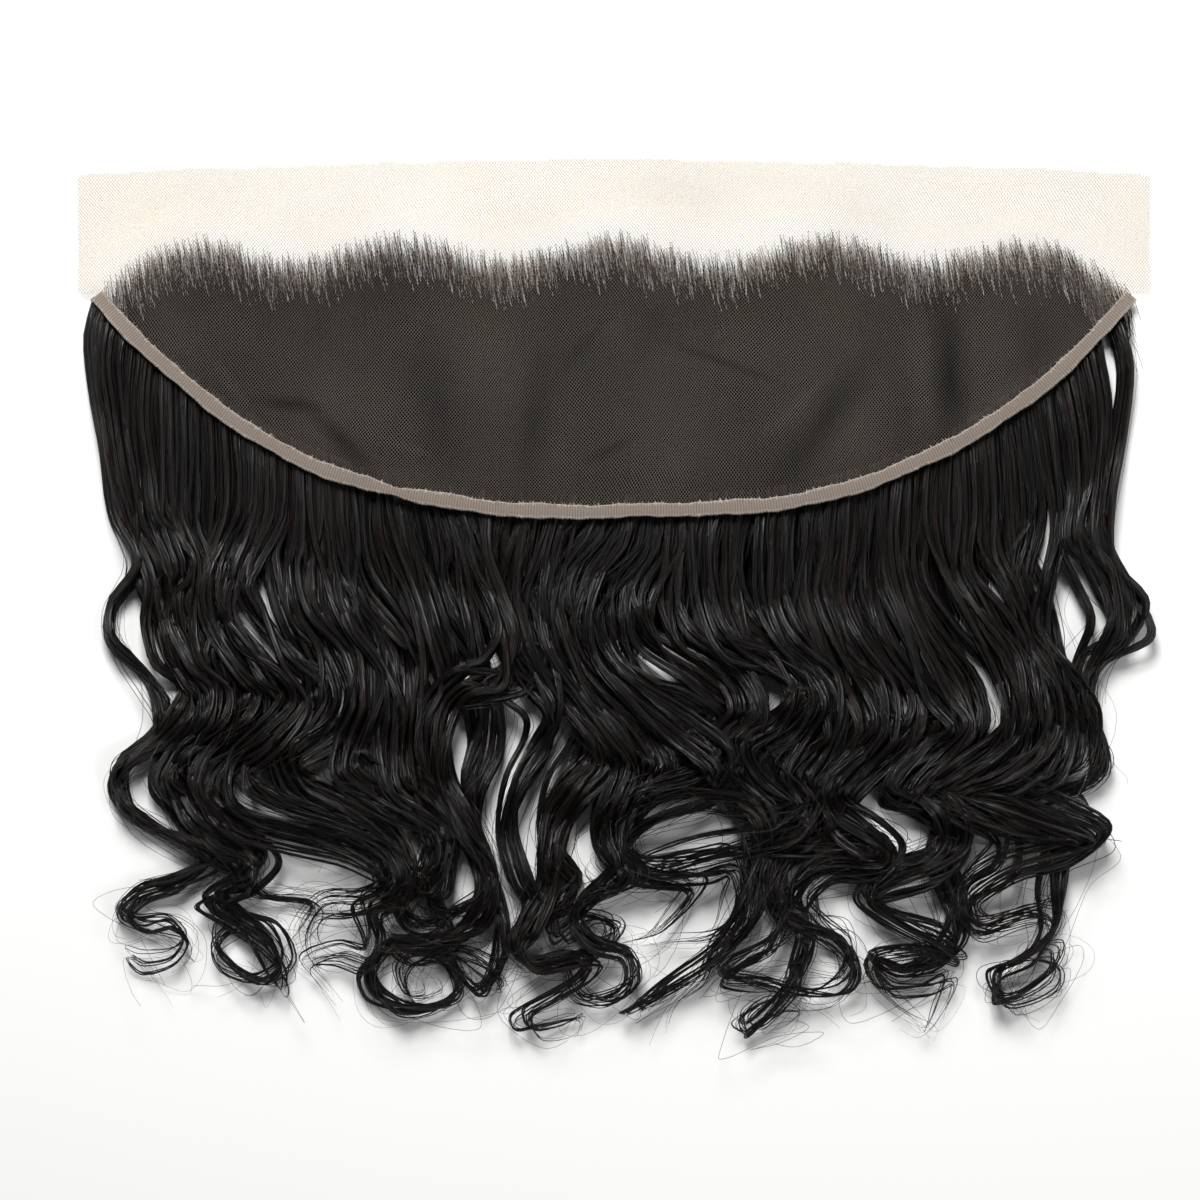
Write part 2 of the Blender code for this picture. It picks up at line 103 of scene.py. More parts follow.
# Curls from left to right, as they lie. A place is where the curl bends, in steps of VIEW_STEP across and
# down the view from its top left corner. Root and tip are the half widths of the curl in millimetres, lay is
# the share of HAIR_DEPTH that it rides above the floor, and gather is the share of the fall where the curl
# begins to draw together.
CURLS = (
    # root, tip, lay, gather, places
    # left outer
    (1.6, 0.9, 0.0, 0.1, (
        (101, 296), (93, 340), (98, 395), (109, 450), (116, 515), (138, 562), (118, 604), (122, 640),
        (150, 676), (167, 710), (152, 740), (124, 765), (118, 792), (135, 818), (170, 838), (208, 856),
        (190, 878), (150, 886), (126, 903), (128, 919), (155, 930), (186, 942), (176, 957), (148, 957),
    )),
    # left side
    (4.6, 1.1, 0.2, 0.12, (
        (118, 318), (112, 365), (118, 420), (128, 478), (142, 532), (165, 575), (162, 610), (170, 650),
        (188, 685), (186, 715), (160, 742), (130, 764), (122, 786), (132, 808), (160, 830), (200, 846),
        (216, 862), (180, 880), (146, 890), (128, 908), (140, 920), (172, 918), (192, 938), (180, 955),
        (150, 960), (134, 952), (150, 975), (168, 1003),
    )),
    # left under
    (6.0, 1.0, 0.0, 0.2, (
        (145, 356), (140, 415), (146, 470), (152, 520), (175, 562), (172, 600), (182, 645), (204, 680),
        (212, 710), (195, 738), (165, 762), (163, 785), (180, 812), (208, 845), (236, 868), (262, 892),
        (300, 897), (318, 905), (306, 928), (288, 950), (300, 968),
    )),
    # left loop
    (6.0, 1.1, 0.3, 0.35, (
        (180, 400), (182, 460), (182, 520), (200, 570), (190, 610), (206, 655), (222, 690), (215, 725),
        (185, 750), (172, 775), (190, 805), (215, 838), (245, 860), (250, 885), (222, 892), (216, 902),
        (240, 918), (270, 938), (284, 965), (283, 982), (268, 962), (245, 942),
    )),
    # left ring
    (6.0, 1.0, 0.1, 0.46, (
        (210, 425), (215, 480), (210, 535), (212, 570), (200, 600), (215, 645), (246, 680), (250, 712),
        (225, 740), (196, 758), (188, 785), (205, 820), (240, 838), (260, 860), (242, 880), (222, 893),
        (240, 912), (272, 930), (285, 965), (262, 978), (232, 968), (215, 945), (224, 928), (248, 928),
        (266, 950), (256, 975),
    )),
    # left sweep
    (6.4, 1.2, 0.5, 0.56, (
        (240, 443), (245, 500), (232, 545), (222, 580), (228, 620), (262, 665), (282, 700), (262, 735),
        (225, 755), (215, 785), (240, 815), (290, 828), (345, 842), (388, 862), (392, 885), (362, 900),
        (325, 903), (308, 925), (312, 952), (335, 966), (362, 958),
    )),
    # left ball
    (6.4, 1.4, 0.7, 0.62, (
        (270, 458), (270, 510), (252, 555), (244, 590), (264, 630), (290, 668), (310, 700), (285, 735),
        (250, 762), (250, 790), (285, 812), (335, 825), (378, 845), (398, 872), (385, 897), (345, 905),
        (305, 900), (262, 890),
    )),
    # left bow
    (6.4, 1.0, 0.4, 0.56, (
        (300, 468), (300, 520), (292, 560), (300, 610), (326, 650), (336, 690), (325, 725), (290, 750),
        (300, 785), (340, 805), (380, 835), (402, 868), (398, 895), (372, 905), (378, 935), (372, 955),
        (345, 950), (315, 960), (330, 985), (344, 1012),
    )),
    # left fill
    (6.4, 1.4, 0.6, 0.55, (
        (316, 473), (320, 525), (322, 570), (334, 612), (362, 655), (370, 698), (352, 738), (350, 768),
        (385, 795), (420, 815), (440, 838), (436, 870), (420, 888), (404, 900), (420, 922), (455, 915),
        (480, 893),
    )),
    # stem
    (6.4, 1.5, 0.3, 0.48, (
        (330, 478), (335, 530), (345, 575), (362, 610), (385, 655), (395, 700), (388, 745), (395, 785),
        (425, 815), (442, 838), (436, 865), (432, 885), (412, 882), (403, 898), (415, 918), (440, 922),
        (462, 908), (490, 890), (488, 868), (470, 872),
    )),
    # double ring
    (6.4, 1.3, 0.2, 0.4, (
        (360, 487), (362, 540), (378, 590), (405, 630), (425, 670), (432, 710), (425, 750), (430, 800),
        (442, 835), (434, 870), (436, 900), (450, 925), (455, 942), (420, 940), (388, 945), (374, 965),
        (380, 992), (408, 1006), (442, 1002), (463, 982), (452, 957), (424, 953), (407, 970), (414, 993),
        (434, 990), (430, 974), (412, 970),
    )),
    # low knot
    (6.4, 1.4, 0.5, 0.38, (
        (390, 496), (400, 540), (415, 590), (430, 640), (440, 680), (432, 730), (440, 780), (462, 820),
        (480, 855), (488, 890), (470, 925), (440, 938), (400, 942), (420, 952), (460, 950), (492, 968),
        (498, 984), (478, 975), (458, 955),
    )),
    # arch
    (6.4, 1.4, 0.8, 0.26, (
        (480, 505), (485, 550), (505, 600), (520, 640), (508, 676), (475, 686), (448, 708), (436, 750),
        (446, 795), (474, 840), (494, 878), (478, 902), (452, 912), (430, 905), (440, 888), (462, 880),
    )),
    # first finger
    (6.4, 1.5, 0.3, 0.22, (
        (425, 501), (440, 545), (436, 580), (450, 620), (475, 660), (492, 700), (488, 745), (474, 785),
        (476, 825), (490, 868), (500, 900), (508, 935), (502, 962), (484, 986), (464, 972), (452, 948),
        (480, 940), (505, 955),
    )),
    # second finger
    (6.4, 1.6, 0.5, 0.22, (
        (452, 503), (478, 550), (488, 590), (505, 640), (530, 680), (548, 712), (538, 745), (516, 785),
        (508, 830), (520, 875), (532, 905), (516, 938), (530, 958), (565, 956), (595, 948), (612, 932),
        (598, 918), (572, 924),
    )),
    # third finger
    (6.4, 1.5, 0.2, 0.24, (
        (510, 506), (505, 555), (505, 600), (525, 650), (560, 690), (588, 725), (582, 757), (560, 787),
        (545, 825), (556, 860), (574, 880), (566, 900), (552, 912), (557, 934), (585, 916), (612, 922),
        (612, 935), (585, 945), (555, 965), (525, 962),
    )),
    # long tail
    (6.4, 1.2, 0.4, 0.4, (
        (540, 507), (528, 555), (522, 602), (535, 650), (565, 695), (600, 732), (600, 765), (578, 790),
        (558, 820), (550, 852), (545, 888), (527, 922), (514, 945), (535, 962), (570, 955), (592, 957),
        (580, 975), (548, 990), (519, 1008), (532, 1024), (565, 1020), (586, 1016), (572, 1042),
    )),
    # middle ring
    (6.4, 1.1, 0.6, 0.42, (
        (568, 508), (550, 555), (541, 605), (552, 652), (585, 698), (620, 738), (632, 772), (618, 808),
        (612, 838), (626, 864), (606, 884), (584, 896), (576, 918), (600, 938), (628, 950), (632, 978),
        (612, 998), (585, 995), (572, 972), (585, 950), (608, 948),
    )),
    # left shelf
    (6.4, 1.5, 0.3, 0.45, (
        (606, 508), (596, 538), (566, 575), (556, 615), (572, 655), (602, 700), (642, 735), (660, 762),
        (640, 788), (613, 812), (608, 842), (634, 870), (668, 880), (692, 888), (682, 908), (655, 934),
        (625, 942), (600, 946),
    )),
    # right shelf
    (6.4, 1.4, 0.7, 0.48, (
        (634, 508), (628, 540), (600, 580), (590, 615), (602, 655), (632, 692), (676, 728), (712, 758),
        (700, 782), (655, 796), (628, 820), (624, 850), (650, 868), (692, 866), (726, 862), (738, 886),
        (728, 916), (704, 932), (668, 936), (636, 942),
    )),
    # low tail
    (6.4, 1.1, 0.2, 0.45, (
        (662, 508), (660, 542), (638, 582), (634, 615), (648, 650), (690, 680), (726, 712), (706, 738),
        (702, 762), (730, 782), (746, 812), (755, 846), (750, 886), (742, 926), (718, 946), (700, 976),
        (672, 1000), (654, 1032),
    )),
    # twist
    (6.4, 1.1, 0.5, 0.44, (
        (686, 508), (678, 552), (672, 600), (686, 642), (735, 672), (752, 705), (728, 738), (716, 766),
        (742, 792), (770, 822), (762, 862), (748, 902), (728, 936), (700, 958), (664, 984), (638, 1006),
        (668, 992), (704, 966), (716, 936),
    )),
    # upper shelf
    (6.4, 1.6, 0.9, 0.48, (
        (714, 507), (708, 552), (706, 600), (724, 642), (776, 666), (796, 696), (778, 728), (750, 744),
        (764, 774), (790, 800), (762, 806), (718, 796), (676, 800), (640, 816), (620, 842), (632, 868),
    )),
    # round bow
    (6.4, 1.2, 0.3, 0.46, (
        (744, 504), (740, 552), (742, 600), (764, 640), (806, 676), (818, 706), (800, 740), (772, 757),
        (782, 790), (802, 820), (782, 846), (770, 880), (780, 910), (810, 924), (840, 936), (850, 962),
        (838, 985), (800, 988), (760, 978), (724, 970), (745, 950), (790, 932), (818, 945),
    )),
    # low sweep
    (6.4, 1.6, 0.6, 0.48, (
        (772, 500), (770, 550), (772, 600), (792, 644), (826, 680), (832, 714), (812, 745), (794, 772),
        (806, 800), (790, 830), (742, 842), (700, 850), (656, 866), (620, 880), (598, 868), (612, 850),
    )),
    # small ring
    (6.4, 1.1, 0.2, 0.46, (
        (802, 497), (800, 548), (800, 600), (814, 648), (842, 690), (852, 725), (832, 755), (812, 782),
        (806, 812), (786, 838), (770, 862), (776, 895), (800, 915), (806, 940), (796, 972), (780, 1000),
        (750, 1032), (744, 1020), (770, 1003), (794, 1004), (776, 1024), (752, 1030),
    )),
    # first hook
    (6.4, 1.3, 0.5, 0.48, (
        (832, 494), (828, 545), (826, 598), (842, 648), (866, 692), (874, 728), (850, 758), (826, 786),
        (838, 815), (868, 834), (888, 850), (874, 866), (832, 866), (804, 880), (790, 905), (770, 940),
        (734, 962), (726, 978), (760, 986), (800, 986), (826, 1008),
    )),
    # second hook
    (6.4, 1.2, 0.3, 0.5, (
        (862, 489), (858, 540), (854, 592), (868, 645), (896, 690), (906, 724), (880, 754), (846, 780),
        (830, 808), (800, 832), (778, 852), (800, 838), (846, 838), (878, 848), (862, 866), (822, 870),
        (800, 895), (816, 925), (842, 948), (846, 974), (824, 990),
    )),
    # zigzag
    (6.4, 1.3, 0.6, 0.5, (
        (892, 483), (886, 535), (884, 588), (906, 640), (940, 688), (956, 722), (928, 752), (896, 788),
        (922, 794), (946, 814), (950, 842), (925, 860), (884, 878), (866, 898), (890, 918), (934, 935),
        (948, 950), (905, 948), (870, 955), (868, 970), (895, 1000), (925, 1020), (930, 1036),
    )),
    # bow
    (6.4, 1.2, 0.2, 0.5, (
        (922, 474), (914, 528), (916, 580), (942, 630), (976, 680), (986, 724), (960, 756), (922, 776),
        (902, 802), (932, 804), (950, 830), (936, 862), (948, 895), (952, 925), (932, 958), (900, 972),
        (872, 962), (885, 985), (925, 985), (946, 980), (942, 1005), (925, 1035), (905, 1022),
    )),
    # right ball
    (6.4, 1.6, 0.5, 0.5, (
        (948, 463), (942, 518), (946, 570), (970, 620), (1000, 665), (1010, 710), (1000, 750), (960, 780),
        (930, 790), (970, 805), (1003, 835), (995, 865), (965, 885), (958, 908), (972, 925), (1005, 915),
        (1045, 905), (1050, 890), (1010, 885),
    )),
    # right point
    (6.4, 1.2, 0.7, 0.52, (
        (970, 448), (974, 508), (974, 560), (1000, 602), (1020, 650), (1030, 700), (1035, 745),
        (1000, 775), (960, 790), (1000, 800), (1050, 818), (1083, 832), (1060, 848), (1010, 862),
        (972, 888), (962, 910), (985, 925), (1020, 912), (1048, 920), (1040, 945), (1010, 962), (993, 980),
    )),
    # right ring
    (6.2, 1.2, 0.3, 0.5, (
        (998, 430), (1004, 498), (1006, 550), (1020, 595), (1034, 635), (1050, 680), (1065, 722),
        (1050, 764), (1000, 785), (1010, 805), (1060, 825), (1085, 838), (1058, 850), (1050, 885),
        (1050, 925), (1025, 955), (997, 970), (1000, 992), (1025, 990), (1052, 975), (1056, 958),
        (1030, 955), (1005, 975), (1015, 1000), (1042, 1014),
    )),
    # right wave
    (6.4, 1.6, 0.2, 0.3, (
        (1028, 408), (1040, 465), (1046, 525), (1034, 575), (1034, 628), (1058, 676), (1080, 715),
        (1074, 760), (1040, 783), (998, 790), (960, 786),
    )),
    # right side
    (4.6, 1.1, 0.4, 0.08, (
        (1056, 380), (1069, 425), (1073, 490), (1067, 545), (1098, 588), (1112, 626), (1086, 665),
        (1080, 700), (1092, 740), (1090, 774), (1060, 788), (1020, 782),
    )),
    # right edge
    (4.2, 0.9, 0.2, 0.08, (
        (1084, 345), (1096, 405), (1094, 475), (1089, 540), (1112, 592), (1116, 628), (1088, 660),
        (1081, 700), (1098, 740), (1099, 768), (1078, 788), (1036, 790),
    )),
    # right outer
    (2.2, 0.6, 0.0, 0.06, (
        (1112, 315), (1124, 370), (1116, 440), (1104, 500), (1098, 552), (1120, 604), (1112, 640),
        (1085, 672), (1090, 720), (1102, 758), (1086, 784), (1042, 795), (1076, 793), (1089, 812),
        (1078, 836),
    )),
)
CURL_GROUPS = (
    ("left", CURLS[:9]),
    ("left_middle", CURLS[9:18]),
    ("right_middle", CURLS[18:27]),
    ("right", CURLS[27:]),
)

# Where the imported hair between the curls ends, in the same steps
BED_END = (
    (99, 300), (130, 400), (165, 500), (235, 560), (300, 615), (420, 640), (700, 655), (860, 660),
    (960, 620), (1010, 560), (1060, 420), (1130, 300),
)

# Painted light and shade of the net's soft wrinkles as they lie, in the same steps: the lit and the shaded
# sides of each wrinkle, painted onto the thread's colour
FOLDS = (
    # x, y, half length, half width, lean in degrees, painted shade (painted light where below 0)
    (948, 372, 95, 24, 3, 0.75),
    (918, 380, 90, 18, 3, -0.25),
    (824, 420, 105, 26, -36, 0.6),
    (790, 412, 60, 8, -48, -0.3),
    (724, 364, 80, 6, 70, 0.45),
    (651, 322, 40, 34, 0, 0.25),
    (608, 452, 44, 7, -62, 0.4),
    (534, 430, 95, 20, -5, 0.4),
    (440, 408, 95, 34, 4, 0.35),
    (292, 405, 40, 10, 84, 0.7),
    (342, 440, 60, 13, 46, 0.7),
    (412, 449, 34, 6, 72, -0.35),
    (322, 352, 90, 70, 30, 0.2),
    (1032, 362, 60, 40, -10, 0.35),
    (232, 384, 50, 9, 36, -0.3),
    (585, 345, 70, 8, -40, 0.25),
)

# The photo's frame: its real step, and where the middle of the band lies in it
VIEW_STEPS = 1200
VIEW_STEP = 0.325 * MM
BAND_AT = (614, 512)
VIEW_WIDTH = VIEW_STEPS * VIEW_STEP

# Spacing of the points along threads and hairs, and the most that a hair turns between two, in radians
NET_STEP = 7 * MM
WISP_STEP = 7.5 * MM
STRAND_STEP = 8 * MM
LOOSE_STEP = 9 * MM
TURN_STEP = 0.5

# Section of the tape: share of its width from the middle line, and share of its thickness
TAPE_PROFILE = (
    (-0.5, 0.30), (-0.47, 0.62), (-0.40, 0.80), (-0.2, 0.86), (0.0, 0.88), (0.2, 0.86), (0.42, 0.82),
    (0.48, 0.62), (0.5, 0.30), (0.46, 0.05), (0.0, 0.0), (-0.46, 0.05),
)
TAPE_POINTS = 520
# Such a tape has ribs less than half a millimetre apart; they are drawn coarser, so that they show
TAPE_RIB = 0.9 * MM
# Share of the stitches that also go over the inner edge; how far they reach past each edge and their half
# thickness, in millimetres
INNER_STITCHES = 0.55
OUTER_REACH = (0.0, 0.7)
INNER_REACH = (0.05, 0.25)
STITCH_HALF = (0.09, 0.24)

# Hairs in a curl: the half width of a full curl's root, and what a thin one counts for more, in millimetres
FULL_ROOT = 6.4
THIN_ROOT = 3.0
# A wide curl draws in to this half width before its tip, in millimetres
DRAWN_ROOT = 4.2
# Hairs that stay together as one clump
CLUMP_HAIRS = 5
# Loose hairs that leave each curl, and their half thickness
LOOSE_HAIRS = 3
LOOSE_HALF = 0.08 * MM

# Knots and first hairs: spacing, how far back their rows reach, how far back the knots show, and their radius
KNOT_SPACING = 1.2 * MM
KNOT_REACH = 19 * MM
KNOT_SHOWN = 5 * MM
KNOT_RADIUS = 0.17 * MM
# Lengths and half thicknesses of the first hairs in millimetres, and their lean in degrees
FIRST_LENGTH = (6.0, 15.0)
FIRST_HALF = (0.07, 0.13)
FIRST_LEAN = (15.0, 10.0)

# Packed hair: columns across, rows down, how far behind the hairline it begins, and its lean
BED_COLUMNS = 1080
BED_ROWS = (0.0, 0.14, 0.28, 0.43, 0.58, 0.7, 0.82, 1.0)
BED_START = 15 * MM
BED_LEAN = 0.3

# Stage: half the floor's width, the camera's sensor, and each light's place, size and share of the key light
FLOOR_HALF = 3.0
SENSOR = 36.0
LIGHTS = (
    ("key", (-0.15, 0.95, 1.15), 0.55, 1.0),
    ("fill", (0.8, -0.35, 1.1), 0.5, 0.14),
)


# Shape of the lace and of the room below it


def ease(low, high, value):
    """Smooth rise from 0 at low to 1 at high."""
    share = np.clip((np.asarray(value) - low) / (high - low), 0.0, 1.0)
    return share * share * (3.0 - 2.0 * share)


def band_y(x):
    """Middle line of the curved edge band; past the tips it stays at their height."""
    return BAND_SAG * np.minimum(1.0, np.abs(x) / HALF_SPAN) ** BAND_POWER


def hairline_y(x):
    """Scalloped line where the first hairs are knotted into the lace."""
    share = np.asarray(x) / HALF_SPAN
    wave = SCALLOP_HEIGHT * np.cos(math.pi * SCALLOPS * (share + 0.82))
    drop = HAIRLINE_DROP * np.minimum(1.0, np.abs(share)) ** 10
    return HAIRLINE_DEPTH * (1.0 + wave - drop)


def front_y(x):
    """Front edge of the bare lace strip, a little bowed."""
    return LACE_DEPTH * (1.0 - 0.045 * (np.asarray(x) / (LACE_WIDTH / 2)) ** 2)


def crease_height(x, y):
    """Height that the folds of the lace add at a place."""
    total = np.zeros(np.broadcast(x, y).shape)
    for middle_x, middle_y, half_length, half_width, lean, height in CREASES:
        across = x - middle_x * HALF_SPAN
        along = y + middle_y * HAIR_FALL
        turn = math.radians(lean)
        side = across * math.cos(turn) + along * math.sin(turn)
        run = along * math.cos(turn) - across * math.sin(turn)
        reach = (side / (half_width * HAIR_FALL)) ** 2 + (run / (half_length * HAIR_FALL)) ** 2
        total = total + height * HAIR_FALL * np.exp(-reach)
    return total


def under_lace(x, y):
    """Height of the lace's underside: on the floor at the front, over the hair behind the hairline."""
    x, y = np.asarray(x, float), np.asarray(y, float)
    share = np.minimum(1.0, np.abs(x) / HALF_SPAN)
    hairline = hairline_y(x)
    strip = (HAIR_EDGE + GAP) * (1.0 - ease(0.0, STRIP_RISE, y - hairline))
    depth = HAIR_DEPTH * (1.0 - 0.45 * share ** 2)
    behind = (hairline - y) / (hairline + BAND_SAG * 0.2 - band_y(x))
    bed = HAIR_EDGE + GAP + (depth - HAIR_EDGE) * ease(0.0, 0.8, behind)
    bed = bed + crease_height(x, y) * ease(0.0, 0.2, behind)
    return np.where(y >= hairline, strip, bed)


def ceiling(x, y):
    """Highest that hair may lie at a place: below the lace, and freely higher past the band."""
    past = np.maximum(0.0, band_y(x) - y - BAND_WIDTH)
    return under_lace(x, np.maximum(y, band_y(x) - BAND_WIDTH)) - 2.2 * GAP + 0.9 * past


# Small tools


def linear(code):
    """Linear colour with full cover from an sRGB hex value."""
    parts = [int(code[at:at + 2], 16) / 255 for at in (1, 3, 5)]
    return [part / 12.92 if part <= 0.04045 else ((part + 0.055) / 1.055) ** 2.4 for part in parts] + [1.0]


def wire(made, inputs):
    """Links or sets a node's inputs by name or number."""
    for name, value in inputs.items():
        if isinstance(value, bpy.types.NodeSocket):
            made.id_data.links.new(value, made.inputs[name])
        else:
            made.inputs[name].default_value = value


def node(tree, kind, settings=None, inputs=None):
    """Adds a node with its settings and inputs."""
    made = tree.nodes.new(kind)
    for name, value in (settings or {}).items():
        setattr(made, name, value)
    wire(made, inputs or {})
    return made


def new_material(name):
    """Empty node material with its Principled shader and its tree."""
    material = bpy.data.materials.new(name)
    material.use_nodes = True
    return material, material.node_tree, material.node_tree.nodes["Principled BSDF"]


def new_object(name, mesh):
    """Links a mesh into the scene as an object at the origin."""
    made = bpy.data.objects.new(name, mesh)
    bpy.context.scene.collection.objects.link(made)
    return made


def path_mesh(name, paths, thick, tone):
    """Mesh of open edge chains, with a half thickness and a tone at each point and the length run so far."""
    mesh = bpy.data.meshes.new(name)
    counts = np.array([len(path) for path in paths])
    starts = np.concatenate([[0], np.cumsum(counts)[:-1]])
    points = np.vstack(paths) + BAND_MIDDLE
    first = np.concatenate([start + np.arange(count - 1) for start, count in zip(starts, counts)])
    mesh.vertices.add(len(points))
    mesh.vertices.foreach_set("co", points.ravel())
    mesh.edges.add(len(first))
    mesh.edges.foreach_set("vertices", np.stack([first, first + 1], axis=1).ravel())
    run = np.concatenate([
        np.concatenate([[0.0], np.cumsum(np.linalg.norm(np.diff(path, axis=0), axis=1))]) for path in paths
    ])
    for label, values in (("thick", np.concatenate(thick)), ("tone", np.concatenate(tone)), ("run", run)):
        mesh.attributes.new(label, "FLOAT", "POINT").data.foreach_set("value", values.astype(np.float32))
    mesh.update()
    return mesh


def new_tree(name, sizes):
    """Empty geometry tree with named number inputs; returns it with its input and output nodes."""
    tree = bpy.data.node_groups.new(name, "GeometryNodeTree")
    tree.interface.new_socket("Geometry", in_out="INPUT", socket_type="NodeSocketGeometry")
    for label, kind in sizes.items():
        tree.interface.new_socket(label, in_out="INPUT", socket_type=kind)
    tree.interface.new_socket("Geometry", in_out="OUTPUT", socket_type="NodeSocketGeometry")
    return tree, node(tree, "NodeGroupInput"), node(tree, "NodeGroupOutput")


def close_tree(tree, geometry, output, material, second=None):
    """Ends a tree in plain faces with their material; a second one goes where the tone is over a half."""
    real = node(tree, "GeometryNodeRealizeInstances", inputs={"Geometry": geometry})
    painted = node(tree, "GeometryNodeSetMaterial", inputs={
        "Geometry": real.outputs[0], "Material": material})
    if second:
        tone = node(tree, "GeometryNodeInputNamedAttribute", {"data_type": "FLOAT"}, {"Name": "tone"})
        over = node(tree, "FunctionNodeCompare", {"operation": "GREATER_THAN"}, {0: tone.outputs[0], 1: 0.5})
        painted = node(tree, "GeometryNodeSetMaterial", inputs={
            "Geometry": painted.outputs[0], "Selection": over.outputs[0], "Material": second})
    tree.links.new(painted.outputs[0], output.inputs[0])


def grown(made, tree, values):
    """Runs a geometry tree on an object and keeps the result as its plain mesh."""
    modifier = made.modifiers.new("grown", "NODES")
    modifier.node_group = tree
    for item in tree.interface.items_tree:
        if item.in_out == "INPUT" and item.name in values:
            modifier[item.identifier] = values[item.name]
    source = made.data
    depsgraph = bpy.context.evaluated_depsgraph_get()
    mesh = bpy.data.meshes.new_from_object(made.evaluated_get(depsgraph))
    made.modifiers.clear()
    made.data = mesh
    mesh.name = made.name
    bpy.data.meshes.remove(source)


def strand_tree(material, second=None):
    """Tubes along edge chains: the section is a ring with a few sides, flattened or raised as asked."""
    sizes = {"Sides": "NodeSocketInt", "Flatness": "NodeSocketFloat"}
    tree, start, end = new_tree("tubes along paths", sizes)
    chains = node(tree, "GeometryNodeMeshToCurve", inputs={0: start.outputs["Geometry"]})
    level = node(tree, "GeometryNodeSetCurveNormal", {"mode": "Z_UP"}, {0: chains.outputs[0]})
    ring = node(tree, "GeometryNodeCurvePrimitiveCircle", inputs={
        "Resolution": start.outputs["Sides"], "Radius": 1.0})
    flat = node(tree, "ShaderNodeCombineXYZ", inputs={"X": 1.0, "Y": start.outputs["Flatness"], "Z": 1.0})
    place = node(tree, "GeometryNodeInputPosition")
    wide = node(tree, "ShaderNodeVectorMath", {"operation": "MULTIPLY"}, {
        0: place.outputs[0], 1: flat.outputs[0]})
    section = node(tree, "GeometryNodeSetPosition", inputs={
        "Geometry": ring.outputs[0], "Position": wide.outputs[0]})
    around = node(tree, "GeometryNodeSplineParameter")
    named = node(tree, "GeometryNodeStoreNamedAttribute", {"data_type": "FLOAT", "domain": "POINT"}, {
        "Geometry": section.outputs[0], "Name": "around", "Value": around.outputs["Factor"]})
    size = node(tree, "GeometryNodeInputNamedAttribute", {"data_type": "FLOAT"}, {"Name": "thick"})
    tube = node(tree, "GeometryNodeCurveToMesh", inputs={
        "Curve": level.outputs[0], "Profile Curve": named.outputs[0], "Scale": size.outputs[0],
        "Fill Caps": True})
    smooth = node(tree, "GeometryNodeSetShadeSmooth", inputs={0: tube.outputs[0]})
    close_tree(tree, smooth.outputs[0], end, material, second)
    return tree


# The lace net


def lace_half_width(y):
    """Half the lace's width, a little less towards the back, and rounded at the front corners."""
    drawn_in = 1.6 * MM * ease(0.9, 0.0, y / LACE_DEPTH)
    rounded = 2.0 * MM * ease(0.965, 1.0, y / LACE_DEPTH)
    return LACE_WIDTH / 2 - drawn_in - rounded


def inside_lace(x, y):
    """True where a place lies on the lace, seen from above."""
    wobble = 0.35 * MM * np.sin(x / (7 * MM)) * np.sin(x / (17 * MM))
    return (y < front_y(x) + wobble) & (y > band_y(x)) & (np.abs(x) < lace_half_width(y))


def on_lace(x, y, lift):
    """Places on the lace with its slight stretch in the plane, at a height above its underside."""
    inner = ease(0.0, 22 * MM, front_y(x) - y) * ease(0.0, 14 * MM, y - band_y(x))
    inner = inner * ease(0.0, 25 * MM, LACE_WIDTH / 2 - np.abs(x))
    stretch_x = 1.1 * np.sin(y / (13 * MM) + x / (37 * MM)) + 0.8 * np.sin(x / (9 * MM) + 1.0)
    stretch_y = 2.2 * np.sin(x / (31 * MM) + 0.6) + 0.5 * np.sin(x / (8 * MM) + y / (17 * MM))
    ripple = 0.25 * MM * (1 + np.sin(x / (26 * MM) + 2 * np.sin(y / (30 * MM))))
    height = under_lace(x, y) + lift + ripple
    return np.stack([x + inner * MM * stretch_x, y + inner * MM * stretch_y, height], axis=-1)


def net_threads(pitch, row, step):
    """Threads of the net in two slanting families, cut at the lace's outline."""
    lean = pitch / row
    far = LACE_DEPTH * 1.01
    paths = []
    fine = np.arange(0.0, LACE_DEPTH * 1.02, 0.6 * MM)
    for side in (-1, 1):
        reach = LACE_WIDTH / 2 + LACE_DEPTH * lean
        lift = 0.35 * MM + 0.05 * MM * side
        for start in np.arange(-reach, reach, pitch):
            kept = np.flatnonzero(inside_lace(start + side * fine * lean, far - fine))
            if len(kept) < 4:
                continue
            first, last = fine[kept[0]], fine[kept[-1]]
            count = max(2, int(round((last - first) * math.hypot(1.0, lean) / step)) + 1)
            down = np.linspace(first, last, count)
            paths.append(on_lace(start + side * down * lean, far - down, lift))
    return paths


def hair_below(x, y):
    """Share of dark hair that shows through the net at a place, from 0 on the bare strip to 1."""
    lined = 1.0 - ease(-16 * MM, 6 * MM, y - hairline_y(x))
    return lined * ease(-1 * MM, 6 * MM, HALF_SPAN - np.abs(x))


